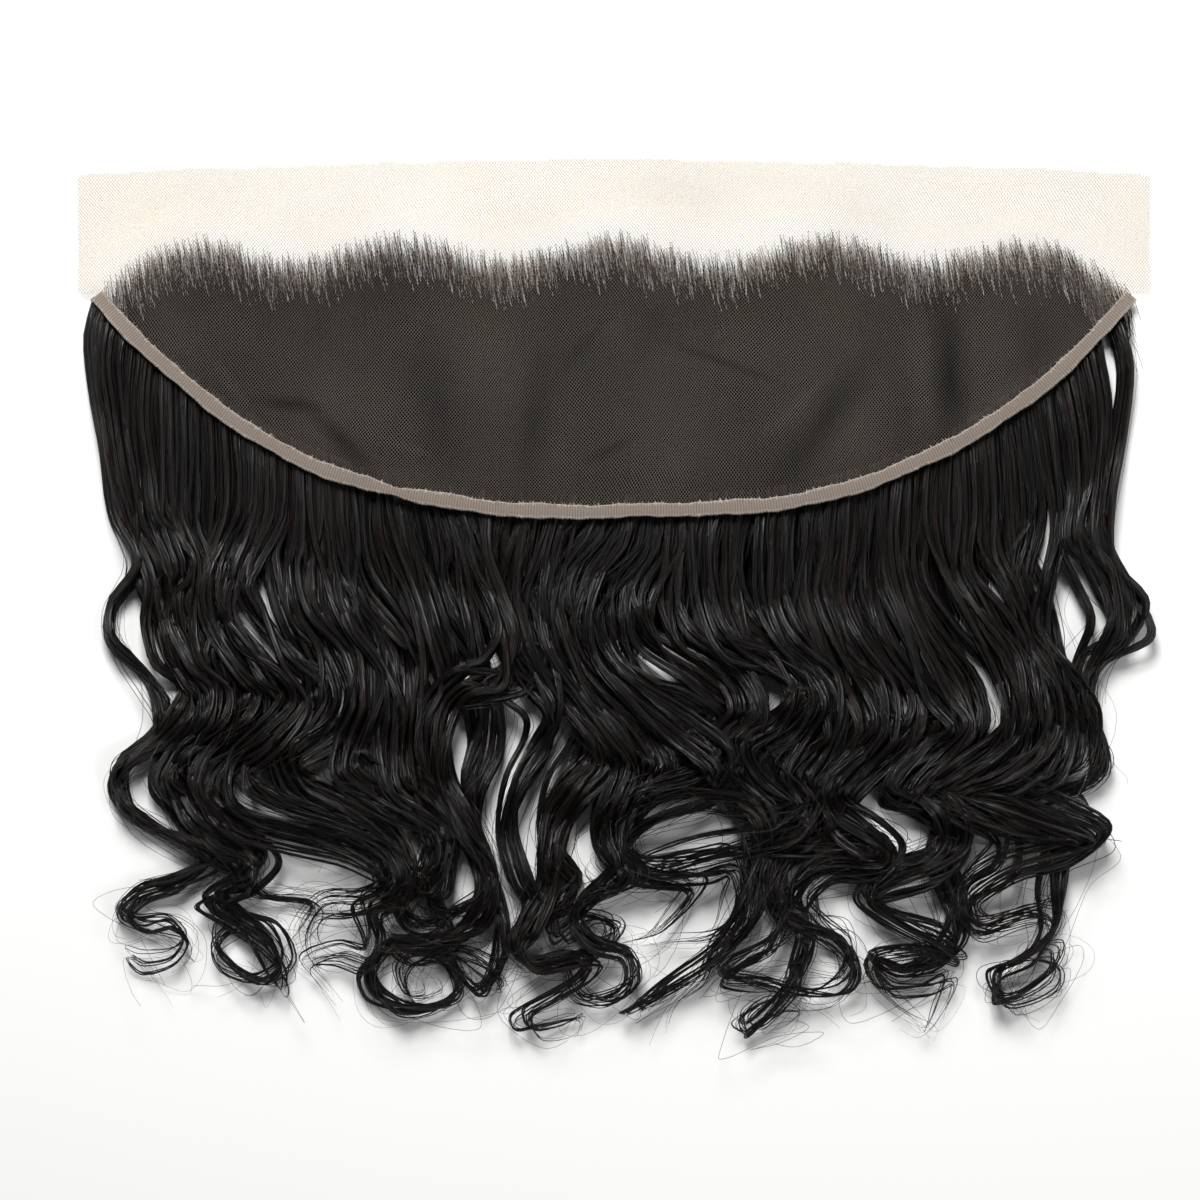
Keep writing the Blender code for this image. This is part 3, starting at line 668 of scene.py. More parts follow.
def lace_material(name, colours, cover):
    """Nylon monofilament knitted into a sheer net: the clear thread takes on what lies behind it, so over the
    hair its colour is painted darker as painted shade.
    """
    material, tree, shader = new_material(name)
    place = node(tree, "ShaderNodeTexCoord").outputs["Object"]
    tint = node(tree, "ShaderNodeAttribute", {"attribute_name": "tone"})
    ramp = node(tree, "ShaderNodeValToRGB", inputs={"Fac": tint.outputs["Fac"]})
    # Thread painted darker towards the hair: painted shade for the light that the clear thread lets through
    # from the floor below
    stops = ramp.color_ramp.elements
    stops[0].color = colours.strip_thread
    stops[1].color = colours.shaded_thread_over_hair
    stops.new(0.5).color = colours.half_shaded_thread_at_hairline
    # Clouds some 36 mm across, then the soft wrinkles, each an oval that darkens the thread as painted shade,
    # or lightens it as painted light where its shade is below 0
    cloud = node(tree, "ShaderNodeTexNoise", inputs={"Vector": place, "Scale": 28.0, "Detail": 3.0})
    shade = node(tree, "ShaderNodeMapRange", inputs={
        "Value": cloud.outputs["Fac"], "From Min": 0.3, "From Max": 0.7, "To Min": 0.8, "To Max": 1.16})
    cloud_tone_and_painted_fold_shade = shade.outputs[0]
    for across, down, half_length, half_width, lean, depth in FOLDS:
        offset = np.array([across - BAND_AT[0], BAND_AT[1] - down, 0.0]) * VIEW_STEP
        near = node(tree, "ShaderNodeMapping", {"vector_type": "TEXTURE"}, {
            "Vector": place, "Location": BAND_MIDDLE + offset, "Rotation": (0.0, 0.0, math.radians(lean)),
            "Scale": (half_width * VIEW_STEP, half_length * VIEW_STEP, 1.0)})
        oval = node(tree, "ShaderNodeTexGradient", {"gradient_type": "SPHERICAL"}, {
            "Vector": near.outputs[0]})
        weight = node(tree, "ShaderNodeMath", {"operation": "MULTIPLY_ADD"}, {
            0: oval.outputs["Fac"], 1: -depth, 2: cloud_tone_and_painted_fold_shade})
        cloud_tone_and_painted_fold_shade = weight.outputs[0]
    darkest = node(tree, "ShaderNodeMath", {"operation": "MAXIMUM"}, {0: cloud_tone_and_painted_fold_shade, 1: 0.15})
    toned = node(tree, "ShaderNodeMix", {"data_type": "RGBA", "blend_type": "MULTIPLY"}, {
        0: 1.0, 6: ramp.outputs[0], 7: darkest.outputs[0]})
    wire(shader, {"Base Color": toned.outputs[2], "Roughness": 0.5, "Specular IOR Level": 0.3, "IOR": 1.53,
                  "Alpha": cover})
    return material


# The edge band


def band_material(colours):
    """Woven cotton tape: fine ribs across its width, matt, a paler selvedge along both edges."""
    material, tree, shader = new_material("woven cotton tape")
    run = node(tree, "ShaderNodeAttribute", {"attribute_name": "run"})
    edge = node(tree, "ShaderNodeAttribute", {"attribute_name": "edge"})
    at = node(tree, "ShaderNodeCombineXYZ", inputs={"X": run.outputs["Fac"], "Y": edge.outputs["Fac"]})
    ribs = node(tree, "ShaderNodeTexWave", {"wave_type": "BANDS", "bands_direction": "X"}, {
        "Vector": at.outputs[0], "Scale": 2 / (6.28 * TAPE_RIB), "Distortion": 1.5, "Detail": 2.0,
        "Detail Scale": 3.0})
    # Uneven yarn, in patches of 0.7 mm along the tape
    yarn = node(tree, "ShaderNodeTexNoise", inputs={"Vector": at.outputs[0], "Scale": 1400.0, "Detail": 3.0})
    pale = node(tree, "ShaderNodeValToRGB", inputs={"Fac": edge.outputs["Fac"]})
    stops = pale.color_ramp.elements
    stops[0].color = colours.tape_selvedge
    stops[1].position = 0.26
    stops[1].color = colours.tape
    stops.new(0.9).color = colours.tape
    stops.new(1.0).color = colours.tape_selvedge
    worn = node(tree, "ShaderNodeMapRange", inputs={
        "Value": yarn.outputs["Fac"], "From Min": 0.3, "From Max": 0.7, "To Min": 0.7, "To Max": 1.25})
    woven = node(tree, "ShaderNodeMath", {"operation": "MULTIPLY_ADD"}, {
        0: ribs.outputs["Fac"], 1: 0.45, 2: 0.72})
    shade = node(tree, "ShaderNodeMath", {"operation": "MULTIPLY"}, {0: worn.outputs[0], 1: woven.outputs[0]})
    toned = node(tree, "ShaderNodeMix", {"data_type": "RGBA", "blend_type": "MULTIPLY"}, {
        0: 1.0, 6: pale.outputs[0], 7: shade.outputs[0]})
    height = node(tree, "ShaderNodeMath", {"operation": "MULTIPLY_ADD"}, {
        0: yarn.outputs["Fac"], 1: 0.8, 2: ribs.outputs["Fac"]})
    bump = node(tree, "ShaderNodeBump", inputs={
        "Height": height.outputs[0], "Strength": 0.7, "Distance": 0.15 * MM})
    wire(shader, {"Base Color": toned.outputs[2], "Normal": bump.outputs[0], "Roughness": 0.9,
                  "Sheen Weight": 0.2})
    return material


def thread_material(colours):
    """Spun cotton sewing thread: matt, a little paler than the tape, no two stitches quite the same."""
    material, tree, shader = new_material("spun cotton thread")
    tone = node(tree, "ShaderNodeAttribute", {"attribute_name": "tone"})
    blend = node(tree, "ShaderNodeMix", {"data_type": "RGBA"}, {
        0: tone.outputs["Fac"], 6: colours.tape, 7: colours.thread})
    wire(shader, {"Base Color": blend.outputs[2], "Roughness": 0.85})
    return material


def band_line(count):
    """Middle of the band: place, direction across it, width and lift, at even steps along x."""
    x = np.linspace(-HALF_SPAN, HALF_SPAN, count)
    share = np.abs(x) / HALF_SPAN
    slope = BAND_POWER * BAND_SAG / HALF_SPAN * np.sign(x) * share ** (BAND_POWER - 1)
    across = np.stack([-slope, np.ones(count)], axis=1) / np.hypot(slope, 1.0)[:, None]
    width = np.full(count, BAND_WIDTH)
    lift = np.zeros(count)
    for middle, reach, loss, rise in BAND_PUCKERS:
        near = np.exp(-((x / HALF_SPAN - middle) / reach) ** 2)
        width = width * (1.0 - loss * near)
        lift = lift + rise * BAND_WIDTH * near
    uneven = 0.06 * np.sin(x / (5.3 * MM)) + 0.05 * np.sin(x / (2.1 * MM) + 1.0) + 0.04 * np.sin(x / MM)
    sway = 0.35 * MM * np.sin(x / (13 * MM)) + 0.2 * MM * np.sin(x / (4.7 * MM))
    return np.stack([x, band_y(x) + sway], axis=1), across, width * (1.0 + uneven), lift


def tape_sections(middle, across, width, lift):
    """Sections of the tape, and the share across it of each of their points."""
    sections = np.zeros((len(middle), len(TAPE_PROFILE), 3))
    edge = np.zeros((len(middle), len(TAPE_PROFILE)))
    for number, (out, up) in enumerate(TAPE_PROFILE):
        place = middle + across * (width * out)[:, None]
        base = under_lace(place[:, 0], place[:, 1]) + CLOTH_WALL + GAP + lift
        sections[:, number, :2] = place
        sections[:, number, 2] = base + up * BAND_THICKNESS
        edge[:, number] = out + 0.5
    return sections, edge


def stitch_paths(draw, spacing, run, middle, across, width, lift):
    """Overcast stitches over the edges of the tape: paths, half thicknesses and tones."""
    tape = CLOTH_WALL + GAP + BAND_THICKNESS * 0.9
    paths, thick, tone = [], [], []
    for at in np.arange(0.0, run[-1], spacing):
        here = int(np.interp(at + draw.normal(0.0, 0.3) * spacing, run, np.arange(len(run))))
        sides = (1, -1) if draw.uniform() < INNER_STITCHES else (1,)
        for side in sides:
            reach = draw.uniform(*(OUTER_REACH if side > 0 else INNER_REACH)) * MM
            out = width[here] / 2 * side
            lean = draw.normal(0.0, 0.3) * MM
            places = np.array([out * 0.62, out * 0.85, out, out + reach * side])
            flat = middle[here] + across[here] * places[:, None]
            along = np.array([across[here][1], -across[here][0]])
            flat = flat + along * (lean * np.array([-1, 0, 0.6, 1]))[:, None]
            base = under_lace(flat[:, 0], flat[:, 1]) + lift[here]
            up = base + np.array([tape, tape + 0.05 * MM, tape * 0.75, 0.55 * MM])
            paths.append(np.column_stack([flat, up]))
            thick.append(draw.uniform(*STITCH_HALF) * MM * np.array([0.8, 1.0, 1.0, 0.7]))
            tone.append(np.full(4, draw.uniform()))
    return paths, thick, tone


def loop_solid(name, sections):
    """Closed tube through sections of points, with flat ends; sections is (count, points in a ring, 3)."""
    count, ring = sections.shape[:2]
    at = np.arange(count * ring).reshape(count, ring)
    after = np.roll(at, -1, axis=1)
    quads = np.stack([at[:-1], after[:-1], after[1:], at[1:]], axis=-1).reshape(-1, 4)
    mesh = bpy.data.meshes.new(name)
    faces = [tuple(quad) for quad in quads] + [tuple(at[0][::-1]), tuple(at[-1])]
    mesh.from_pydata((sections.reshape(-1, 3) + BAND_MIDDLE).tolist(), [], faces)
    mesh.update()
    mesh.shade_smooth()
    return mesh


# The hair


def hair_material(name, colour, tip, streaks, shine, gloss):
    """Human hair: off-black keratin, glossy along the strand, a little brown where light comes through."""
    material, tree, shader = new_material(name)
    tone = node(tree, "ShaderNodeAttribute", {"attribute_name": "tone"})
    run = node(tree, "ShaderNodeAttribute", {"attribute_name": "run"})
    around = node(tree, "ShaderNodeAttribute", {"attribute_name": "around"})
    # A wisp's single hairs, under 0.1 mm wide, are too fine to show, so a few coarser streaks stand for them
    turn = node(tree, "ShaderNodeMath", {"operation": "MULTIPLY"}, {0: around.outputs["Fac"], 1: streaks})
    # A streak runs for some 45 mm, and each hair has streaks of its own
    down = node(tree, "ShaderNodeMath", {"operation": "MULTIPLY"}, {0: run.outputs["Fac"], 1: 22.0})
    own = node(tree, "ShaderNodeMath", {"operation": "MULTIPLY"}, {0: tone.outputs["Fac"], 1: 97.0})
    at = node(tree, "ShaderNodeCombineXYZ", inputs={
        "X": turn.outputs[0], "Y": down.outputs[0], "Z": own.outputs[0]})
    strand = node(tree, "ShaderNodeTexNoise", inputs={
        "Vector": at.outputs[0], "Scale": 1.0, "Detail": 2.0, "Roughness": 0.6})
    streak = node(tree, "ShaderNodeMapRange", inputs={
        "Value": strand.outputs["Fac"], "From Min": 0.36, "From Max": 0.66})
    warm = node(tree, "ShaderNodeMath", {"operation": "MULTIPLY"}, {
        0: streak.outputs[0], 1: tone.outputs["Fac"]})
    blend = node(tree, "ShaderNodeMix", {"data_type": "RGBA"}, {0: warm.outputs[0], 6: colour, 7: tip})
    rough = node(tree, "ShaderNodeMapRange", inputs={
        "Value": streak.outputs[0], "To Min": shine + 0.2, "To Max": shine})
    bump = node(tree, "ShaderNodeBump", inputs={
        "Height": streak.outputs[0], "Strength": 1.0, "Distance": 0.3 * MM})
    wire(shader, {"Base Color": blend.outputs[2], "Roughness": rough.outputs[0], "Normal": bump.outputs[0],
                  "Specular IOR Level": gloss})
    return material


def packed_hair_material(colours):
    """Human hair packed under the net: off-black and dull, because its strands cross in the net's shade."""
    material, tree, shader = new_material("off-black hair, packed under the net")
    place = node(tree, "ShaderNodeTexCoord").outputs["Object"]
    # Strands 0.6 mm wide and 12 mm long, drawn coarser than single hairs so that they show
    long = node(tree, "ShaderNodeMapping", inputs={"Vector": place, "Scale": (1.0, 0.05, 0.2)})
    fine = node(tree, "ShaderNodeTexNoise", inputs={
        "Vector": long.outputs[0], "Scale": 1600.0, "Detail": 3.0})
    light = node(tree, "ShaderNodeMapRange", inputs={
        "Value": fine.outputs["Fac"], "From Min": 0.5, "From Max": 1.0})
    blend = node(tree, "ShaderNodeMix", {"data_type": "RGBA"}, {
        0: light.outputs[0], 6: colours.base, 7: colours.warm})
    bump = node(tree, "ShaderNodeBump", inputs={
        "Height": fine.outputs["Fac"], "Strength": 1.0, "Distance": 0.4 * MM})
    wire(shader, {"Base Color": blend.outputs[2], "Normal": bump.outputs[0], "Roughness": 0.7,
                  "Specular IOR Level": 0.08})
    return material


def spline(turns, steps):
    """Smooth curves through turns, shaped (curves, turns, 3), sampled at even parameters."""
    first = 2 * turns[:, :1] - turns[:, 1:2]
    last = 2 * turns[:, -1:] - turns[:, -2:-1]
    ends = np.concatenate([first, turns, last], axis=1)
    spans = turns.shape[1] - 1
    at = np.linspace(0.0, spans, steps)
    here = np.minimum(at.astype(int), spans - 1)
    t = (at - here)[None, :, None]
    before, start, stop, after = (ends[:, here + step] for step in range(4))
    return 0.5 * (2 * start + (stop - before) * t + (2 * before - 5 * start + 4 * stop - after) * t ** 2
                  + (3 * start - before - 3 * stop + after) * t ** 3)


def even_steps(path, step, kept):
    """Points along a path, closer together where it turns; only a share of the path is kept."""
    ahead = np.diff(path, axis=0)
    length = np.linalg.norm(ahead, axis=1)
    ahead = ahead / length[:, None]
    turn = np.arccos(np.clip(np.sum(ahead[1:] * ahead[:-1], axis=1), -1.0, 1.0))
    cost = length / step + np.concatenate([[0.0], turn]) / TURN_STEP
    effort = np.concatenate([[0.0], np.cumsum(cost)])
    run = np.concatenate([[0.0], np.cumsum(length)])
    reach = np.interp(run[-1] * kept, run, effort)
    at = np.linspace(0.0, reach, max(6, int(reach) + 1))
    return np.stack([np.interp(at, effort, path[:, axis]) for axis in range(3)], axis=1)


def settled(path, radius):
    """Keeps a hair above the floor and below the lace."""
    top = ceiling(path[:, 0], path[:, 1]) - radius
    path[:, 2] = np.maximum(np.minimum(path[:, 2], top), radius)
    return path


def drift_of(draw, count, turns, spacing):
    """Smooth random drift along paths, of about one size, changing over a few turns."""
    coarse = draw.normal(0.0, 1.0, (count, int(turns / spacing) + 3, 3))
    at = np.arange(turns) / spacing
    here = at.astype(int)
    share = ease(0.0, 1.0, at - here)[None, :, None]
    return coarse[:, here] * (1.0 - share) + coarse[:, here + 1] * share


def curl_paths(row, draw, count, spread, stray, lift):
    """Paths of the hairs of one curl: side by side at the root, drawn together towards the tip."""
    root, tip, lay, gather, places = row
    x = (np.array([place[0] for place in places]) - BAND_AT[0]) * VIEW_STEP
    y = (BAND_AT[1] - np.array([place[1] for place in places])) * VIEW_STEP
    number = np.arange(len(x))
    run_x, run_y = np.gradient(x), np.gradient(y)
    long = np.hypot(run_x, run_y)
    across = np.stack([-run_y / long, run_x / long], axis=1)
    down = np.maximum.accumulate(-y) / HAIR_FALL
    near_tip = number / number[-1]
    half = root + (min(root, DRAWN_ROOT) - root) * ease(gather, gather + 0.28, down)
    half = (half + (0.6 * tip - half) * ease(gather + 0.16, gather + 0.40, down)) * MM
    rise = (0.3 + 0.7 * ease(0.0, 0.3, near_tip)) * (1.0 - 0.45 * ease(0.7, 1.0, near_tip))
    height = 0.3 * HAIR_DEPTH + rise * HAIR_DEPTH * (lay + 0.5 * (number % 2)) + lift
    thick = HAIR_DEPTH * (0.30 + 0.16 * ease(0.0, 0.3, down) - 0.28 * ease(gather, gather + 0.3, down))

    beside = (np.arange(count) + draw.uniform(0.1, 0.9, count)) / count * 2 - 1
    above = draw.uniform(-1.0, 1.0, count)
    # Clumps wander slowly and sway in quick turns near the root; each hair also strays by itself
    clumps = np.arange(count) * max(2, count // CLUMP_HAIRS) // count
    clump_size = (1.5 * ease(0.0, 0.12, down + 0.02) + 0.5 * ease(0.4, 0.95, down))[None, :, None] * MM
    own_size = (0.3 + stray * ease(0.2, 0.9, down))[None, :, None] * MM
    sway_size = (2.0 * ease(0.0, 0.1, down + 0.02) * ease(0.5, 0.3, down))[None, :, None] * MM
    drift = drift_of(draw, clumps.max() + 1, len(x), spacing=2.2)[clumps] * clump_size
    drift = drift + drift_of(draw, clumps.max() + 1, len(x), spacing=1.3)[clumps] * sway_size
    drift = drift + drift_of(draw, count, len(x), spacing=2.4) * own_size
    side = beside[:, None] * half[None, :] * spread
    paths = np.zeros((count, len(x), 3))
    paths[..., 0] = x + across[:, 0] * side + drift[..., 0]
    paths[..., 1] = y + across[:, 1] * side + drift[..., 1]
    paths[..., 2] = height + above[:, None] * thick[None, :] + 0.45 * drift[..., 2]
    root_x = paths[:, 0, 0]
    paths[:, 0, 1] = band_y(root_x) + 6 * MM * ease(1.0, 0.8, np.abs(root_x) / HALF_SPAN) - 0.5 * MM
    return spline(paths, 8 * len(x))


def hairs_in(row, full, least):
    """How many hairs a curl gets, by the width of its root."""
    return max(least, int(round(full * (row[0] + THIN_ROOT) / (FULL_ROOT + THIN_ROOT))))


def wisps(rows, draw, size, full, step):
    """Broad wisps that fill the curls: paths, half widths and tones."""
    paths, thick, tone = [], [], []
    for row in rows:
        count = hairs_in(row, full, least=5)
        for path in curl_paths(row, draw, count, spread=1.0, stray=0.25, lift=0.0):
            kept = draw.uniform(0.88, 1.0) if draw.uniform() < 0.6 else draw.uniform(0.6, 0.88)
            path = even_steps(path, step, kept)
            along = np.linspace(0.0, 1.0, len(path))
            half = size * draw.uniform(0.6, 1.3) * (1.0 - 0.78 * ease(0.25, 0.85, along))
            half = half * (1.0 - 0.85 * ease(0.86, 1.0, along))
            paths.append(settled(path, half * 0.3))
            thick.append(half)
            tone.append(np.full(len(path), draw.uniform()))
    return paths, thick, tone


def strands(rows, draw, size, full, step):
    """Single hairs on and around the wisps, some of them straying: paths, half thicknesses and tones."""
    paths, thick, tone = [], [], []
    for row in rows:
        count = hairs_in(row, full, least=4)
        for path in curl_paths(row, draw, count, spread=1.2, stray=3.0, lift=1.6 * MM):
            path = even_steps(path, step, draw.uniform(0.7, 1.0))
            along = np.linspace(0.0, 1.0, len(path))
            half = size * draw.uniform(0.6, 1.3) * (1.0 - 0.6 * ease(0.6, 1.0, along))
            paths.append(settled(path, half))
            thick.append(half)
            tone.append(np.full(len(path), draw.uniform()))
    return paths, thick, tone


def flyaways(rows, draw):
    """Loose hairs that leave their curl and catch the light: paths, half thicknesses and tones."""
    paths, thick, tone = [], [], []
    for row in rows:
        for path in curl_paths(row, draw, LOOSE_HAIRS, spread=1.8, stray=6.0, lift=2.6 * MM):
            path = even_steps(path, LOOSE_STEP, draw.uniform(0.75, 1.0))
            half = LOOSE_HALF * draw.uniform(0.7, 1.2) * np.ones(len(path))
            paths.append(settled(path, half))
            thick.append(half)
            # Tones lean towards the loose-hair colour, which is painted light for thin hairs catching the
            # light
            tone.append(np.full(len(path), draw.uniform(0.5, 1.0)))
    return paths, thick, tone


def dress_hair(name, paths, thick, tone, material, sides, flatness):
    """Turns hair paths into one closed mesh piece that stands for the solid hair."""
    made = new_object(name, path_mesh(name, paths, thick, tone))
    grown(made, strand_tree(material), {"Sides": sides, "Flatness": flatness})
    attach(made, "root")
    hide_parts("hair")


def knot_places(draw, spacing, reach):
    """Places of the first knots behind the hairline, in staggered rows that thin out forwards."""
    rows = []
    for number, back in enumerate(np.arange(0.0, reach, spacing * 0.62)):
        x = np.arange(-HALF_SPAN * 0.99, HALF_SPAN * 0.99, spacing) + (number % 2) * spacing / 2
        x = x + draw.normal(0.0, 0.12, len(x)) * spacing
        y = hairline_y(x) - back + draw.normal(0.0, 0.25, len(x)) * spacing
        kept = draw.uniform(0.0, 1.0, len(x)) < 0.3 + 0.7 * ease(0.0, 0.3, back / reach)
        rows.append(np.stack([x, y], axis=1)[kept])
    return np.vstack(rows)


def first_hairs(draw, places):
    """Short hairs that lie back over the net from their knots: paths, half thicknesses and tones."""
    along = np.linspace(0.0, 1.0, 3)
    paths, thick, tone = [], [], []
    for x, y in places:
        lean = math.radians(draw.normal(*FIRST_LEAN) + 14.0 * float(ease(0.6, 1.0, x / HALF_SPAN)))
        length = draw.uniform(*FIRST_LENGTH) * MM
        bow = draw.normal(0.0, 0.06)
        angle = lean * (1.0 - 0.7 * along) + bow * along
        step = length / 2
        hair_x = x + np.concatenate([[0.0], np.cumsum(np.sin(angle[1:]) * step)])
        hair_y = y - np.concatenate([[0.0], np.cumsum(np.cos(angle[1:]) * step)])
        hair_z = under_lace(hair_x, hair_y) + (0.15 - 0.6 * along) * MM
        paths.append(np.stack([hair_x, hair_y, np.maximum(hair_z, 0.1 * MM)], axis=1))
        thick.append(draw.uniform(*FIRST_HALF) * MM * np.array([0.8, 1.0, 0.5]))
        tone.append(np.full(3, draw.uniform()))
    return paths, thick, tone


def knot_tree(material):
    """Small balls on points, of slightly different sizes."""
    tree, start, end = new_tree("knots on the net", {"Radius": "NodeSocketFloat", "Seed": "NodeSocketInt"})
    ball = node(tree, "GeometryNodeMeshIcoSphere", inputs={
        "Radius": start.outputs["Radius"], "Subdivisions": 1})
    size = node(tree, "FunctionNodeRandomValue", {"data_type": "FLOAT"}, {
        2: 0.7, 3: 1.25, "Seed": start.outputs["Seed"]})
    set_on = node(tree, "GeometryNodeInstanceOnPoints", inputs={
        "Points": start.outputs["Geometry"], "Instance": ball.outputs[0], "Scale": size.outputs[1]})
    close_tree(tree, set_on.outputs[0], end, material)
    return tree


def bed_sections(draw):
    """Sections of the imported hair, one for each column: down along its top and back along its underside."""
    x = np.linspace(-0.93, 0.93, BED_COLUMNS) * HALF_SPAN
    teeth = (draw.uniform(-1.0, 1.0, len(x)) + draw.uniform(-1.0, 1.0, len(x))) * 4.8 * MM
    teeth = teeth + 1.2 * MM * np.sin(x / (2.3 * MM))
    start = np.maximum(hairline_y(x) - BED_START + teeth, band_y(x) + 1 * MM)
    low_x, low_y = (np.array(row, float) for row in zip(*BED_END))
    stop = (BAND_AT[1] - np.interp(x / VIEW_STEP + BAND_AT[0], low_x, low_y)) * VIEW_STEP
    stop = np.minimum(stop, band_y(x) - 5 * MM) + draw.uniform(-4.0, 4.0, len(x)) * MM
    y = start[:, None] + (stop - start)[:, None] * np.array(BED_ROWS)[None, :]
    x = x[:, None] - BED_LEAN * np.maximum(0.0, y - hairline_y(x)[:, None] + 24 * MM)
    past = np.maximum(0.0, band_y(x) + 2 * MM - y)
    top = under_lace(x, np.maximum(y, band_y(x))) - GAP - 0.6 * MM - 0.9 * past
    top = np.maximum(top, 0.4 * MM)
    top[:, 0] = 0.3 * MM
    upper = np.stack([x, y, top], axis=2)
    lower = np.stack([x[:, ::-1], y[:, ::-1], np.full_like(top, 0.1 * MM)], axis=2)
    return np.concatenate([upper, lower], axis=1)


# Sizes and colours that a user would change


def length_setting(name, description, default):
    """Length that a user may change."""
    return FloatProperty(name=name, description=description, default=default, unit="LENGTH")


def colour_setting(name, description, code):
    """Colour that a user may change, with its default as an sRGB hex value."""
    return FloatVectorProperty(name=name, description=description, default=linear(code), size=4,
                               min=0.0, max=1.0, subtype="COLOR")


class LaceSettings(bpy.types.PropertyGroup):
    # Real nets of this kind have meshes that are too fine to show in the view, so they are drawn coarser
    pitch: length_setting("Mesh pitch", "Width of one mesh of the net", 1.0 * MM)
    row: length_setting("Mesh row", "Height of one mesh of the net", 1.25 * MM)
    thread: length_setting("Thread", "Half thickness of the net's thread", 0.062 * MM)
    thread_cover: FloatProperty(name="Thread cover", default=0.22, min=0.0, max=1.0, subtype="FACTOR",
                                description="How little one wall of the thread lets through")
    strip_thread: colour_setting("Strip thread", "Thread colour on the bare strip", "#C2A872")
    # At the hairline and over the hair the thread is painted darker, as painted shade for the dark hair
    # behind the clear thread
    half_shaded_thread_at_hairline: colour_setting("Hairline thread", "Thread colour at the hairline", "#8A7562")
    shaded_thread_over_hair: colour_setting("Thread over hair", "Thread colour over the hair", "#7C736B")


class BandSettings(bpy.types.PropertyGroup):
    tape: colour_setting("Tape", "Colour of the woven tape", "#877A70")
    tape_selvedge: colour_setting("Selvedge", "Colour of the tape's edges", "#B5ABA2")
    thread: colour_setting("Thread", "Colour of the sewing thread", "#BDB3A8")
    stitch: length_setting("Stitch spacing", "Spacing of the overcast stitches", 1.1 * MM)


class HairSettings(bpy.types.PropertyGroup):
    base: colour_setting("Hair", "Colour of the hair", "#080707")
    warm: colour_setting("Warm hair", "Colour of the lighter strands", "#1F1510")
    # Loose hairs are painted paler brown: painted light for thin hairs that catch the light
    light: colour_setting("Loose hair", "Colour of loose hairs in the light", "#4A382C")
    clumps: IntProperty(name="Wisps", description="Wisps in a full curl", default=30, min=3)
    singles: IntProperty(name="Single hairs", description="Single hairs of a full curl", default=10, min=3)
    wisp: length_setting("Wisp", "Half width of a wisp", 1.0 * MM)
    strand: length_setting("Strand", "Half thickness of a single hair", 0.13 * MM)
    seed: IntProperty(name="Seed", description="Start of the random draws", default=7)


class StageSettings(bpy.types.PropertyGroup):
    lens: FloatProperty(name="Lens", description="Focal length in millimetres", default=100.0)
    key: FloatProperty(name="Key light", description="Power of the large front light in watts", default=30.0)
    room: FloatProperty(name="Room light", description="Strength of the light from all around", default=0.1)


# Operators, one for each piece or group of like pieces


class MakeLace(bpy.types.Operator):
    """Knits the sheer net of the lace base."""

    bl_idname = "hairpiece.make_lace"
    bl_label = "Make lace"

    def execute(self, context):
        sizes = context.scene.lace_settings
        paths = net_threads(sizes.pitch, sizes.row, NET_STEP)
        tone = [hair_below(path[:, 0], path[:, 1]) for path in paths]
        # The faint thread of the bare strip is drawn nearly twice as thick, so that the strip shows on white
        thick = [sizes.thread * (1.9 - 0.9 * share) for share in tone]
        net = new_object("lace_net", path_mesh("lace_net", paths, thick, tone))
        bare = lace_material("nylon monofilament net, bare", sizes, sizes.thread_cover)
        # Over the hair an opaque copy of the thread, its colour painted darker as painted shade
        lined = lace_material("nylon monofilament net, over hair", sizes, 1.0)
        grown(net, strand_tree(bare, lined), {"Sides": 3, "Flatness": 1.8})
        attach(net, "root")
        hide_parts("lace_base")
        return {"FINISHED"}


class MakeBand(bpy.types.Operator):
    """Weaves the tape along the curved back edge and overcasts it to the lace."""

    bl_idname = "hairpiece.make_band"
    bl_label = "Make edge band"

    def execute(self, context):
        sizes = context.scene.band_settings
        line = band_line(TAPE_POINTS)
        sections, edge = tape_sections(*line)
        band = new_object("edge_tape", loop_solid("edge_tape", sections))
        run = np.concatenate([[0.0], np.cumsum(np.linalg.norm(np.diff(line[0], axis=0), axis=1))])
        for label, values in (("run", np.repeat(run, len(TAPE_PROFILE))), ("edge", edge.ravel())):
            layer = band.data.attributes.new(label, "FLOAT", "POINT")
            layer.data.foreach_set("value", values.astype(np.float32))
        band.data.materials.append(band_material(sizes))
        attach(band, "root")
        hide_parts("edge_band")

        paths, thick, tone = stitch_paths(np.random.default_rng(11), sizes.stitch, run, *line)
        stitches = new_object("overcast_stitches", path_mesh("overcast_stitches", paths, thick, tone))
        grown(stitches, strand_tree(thread_material(sizes)), {"Sides": 4, "Flatness": 1.0})
        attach(stitches, "root")
        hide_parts("edge_band")
        return {"FINISHED"}


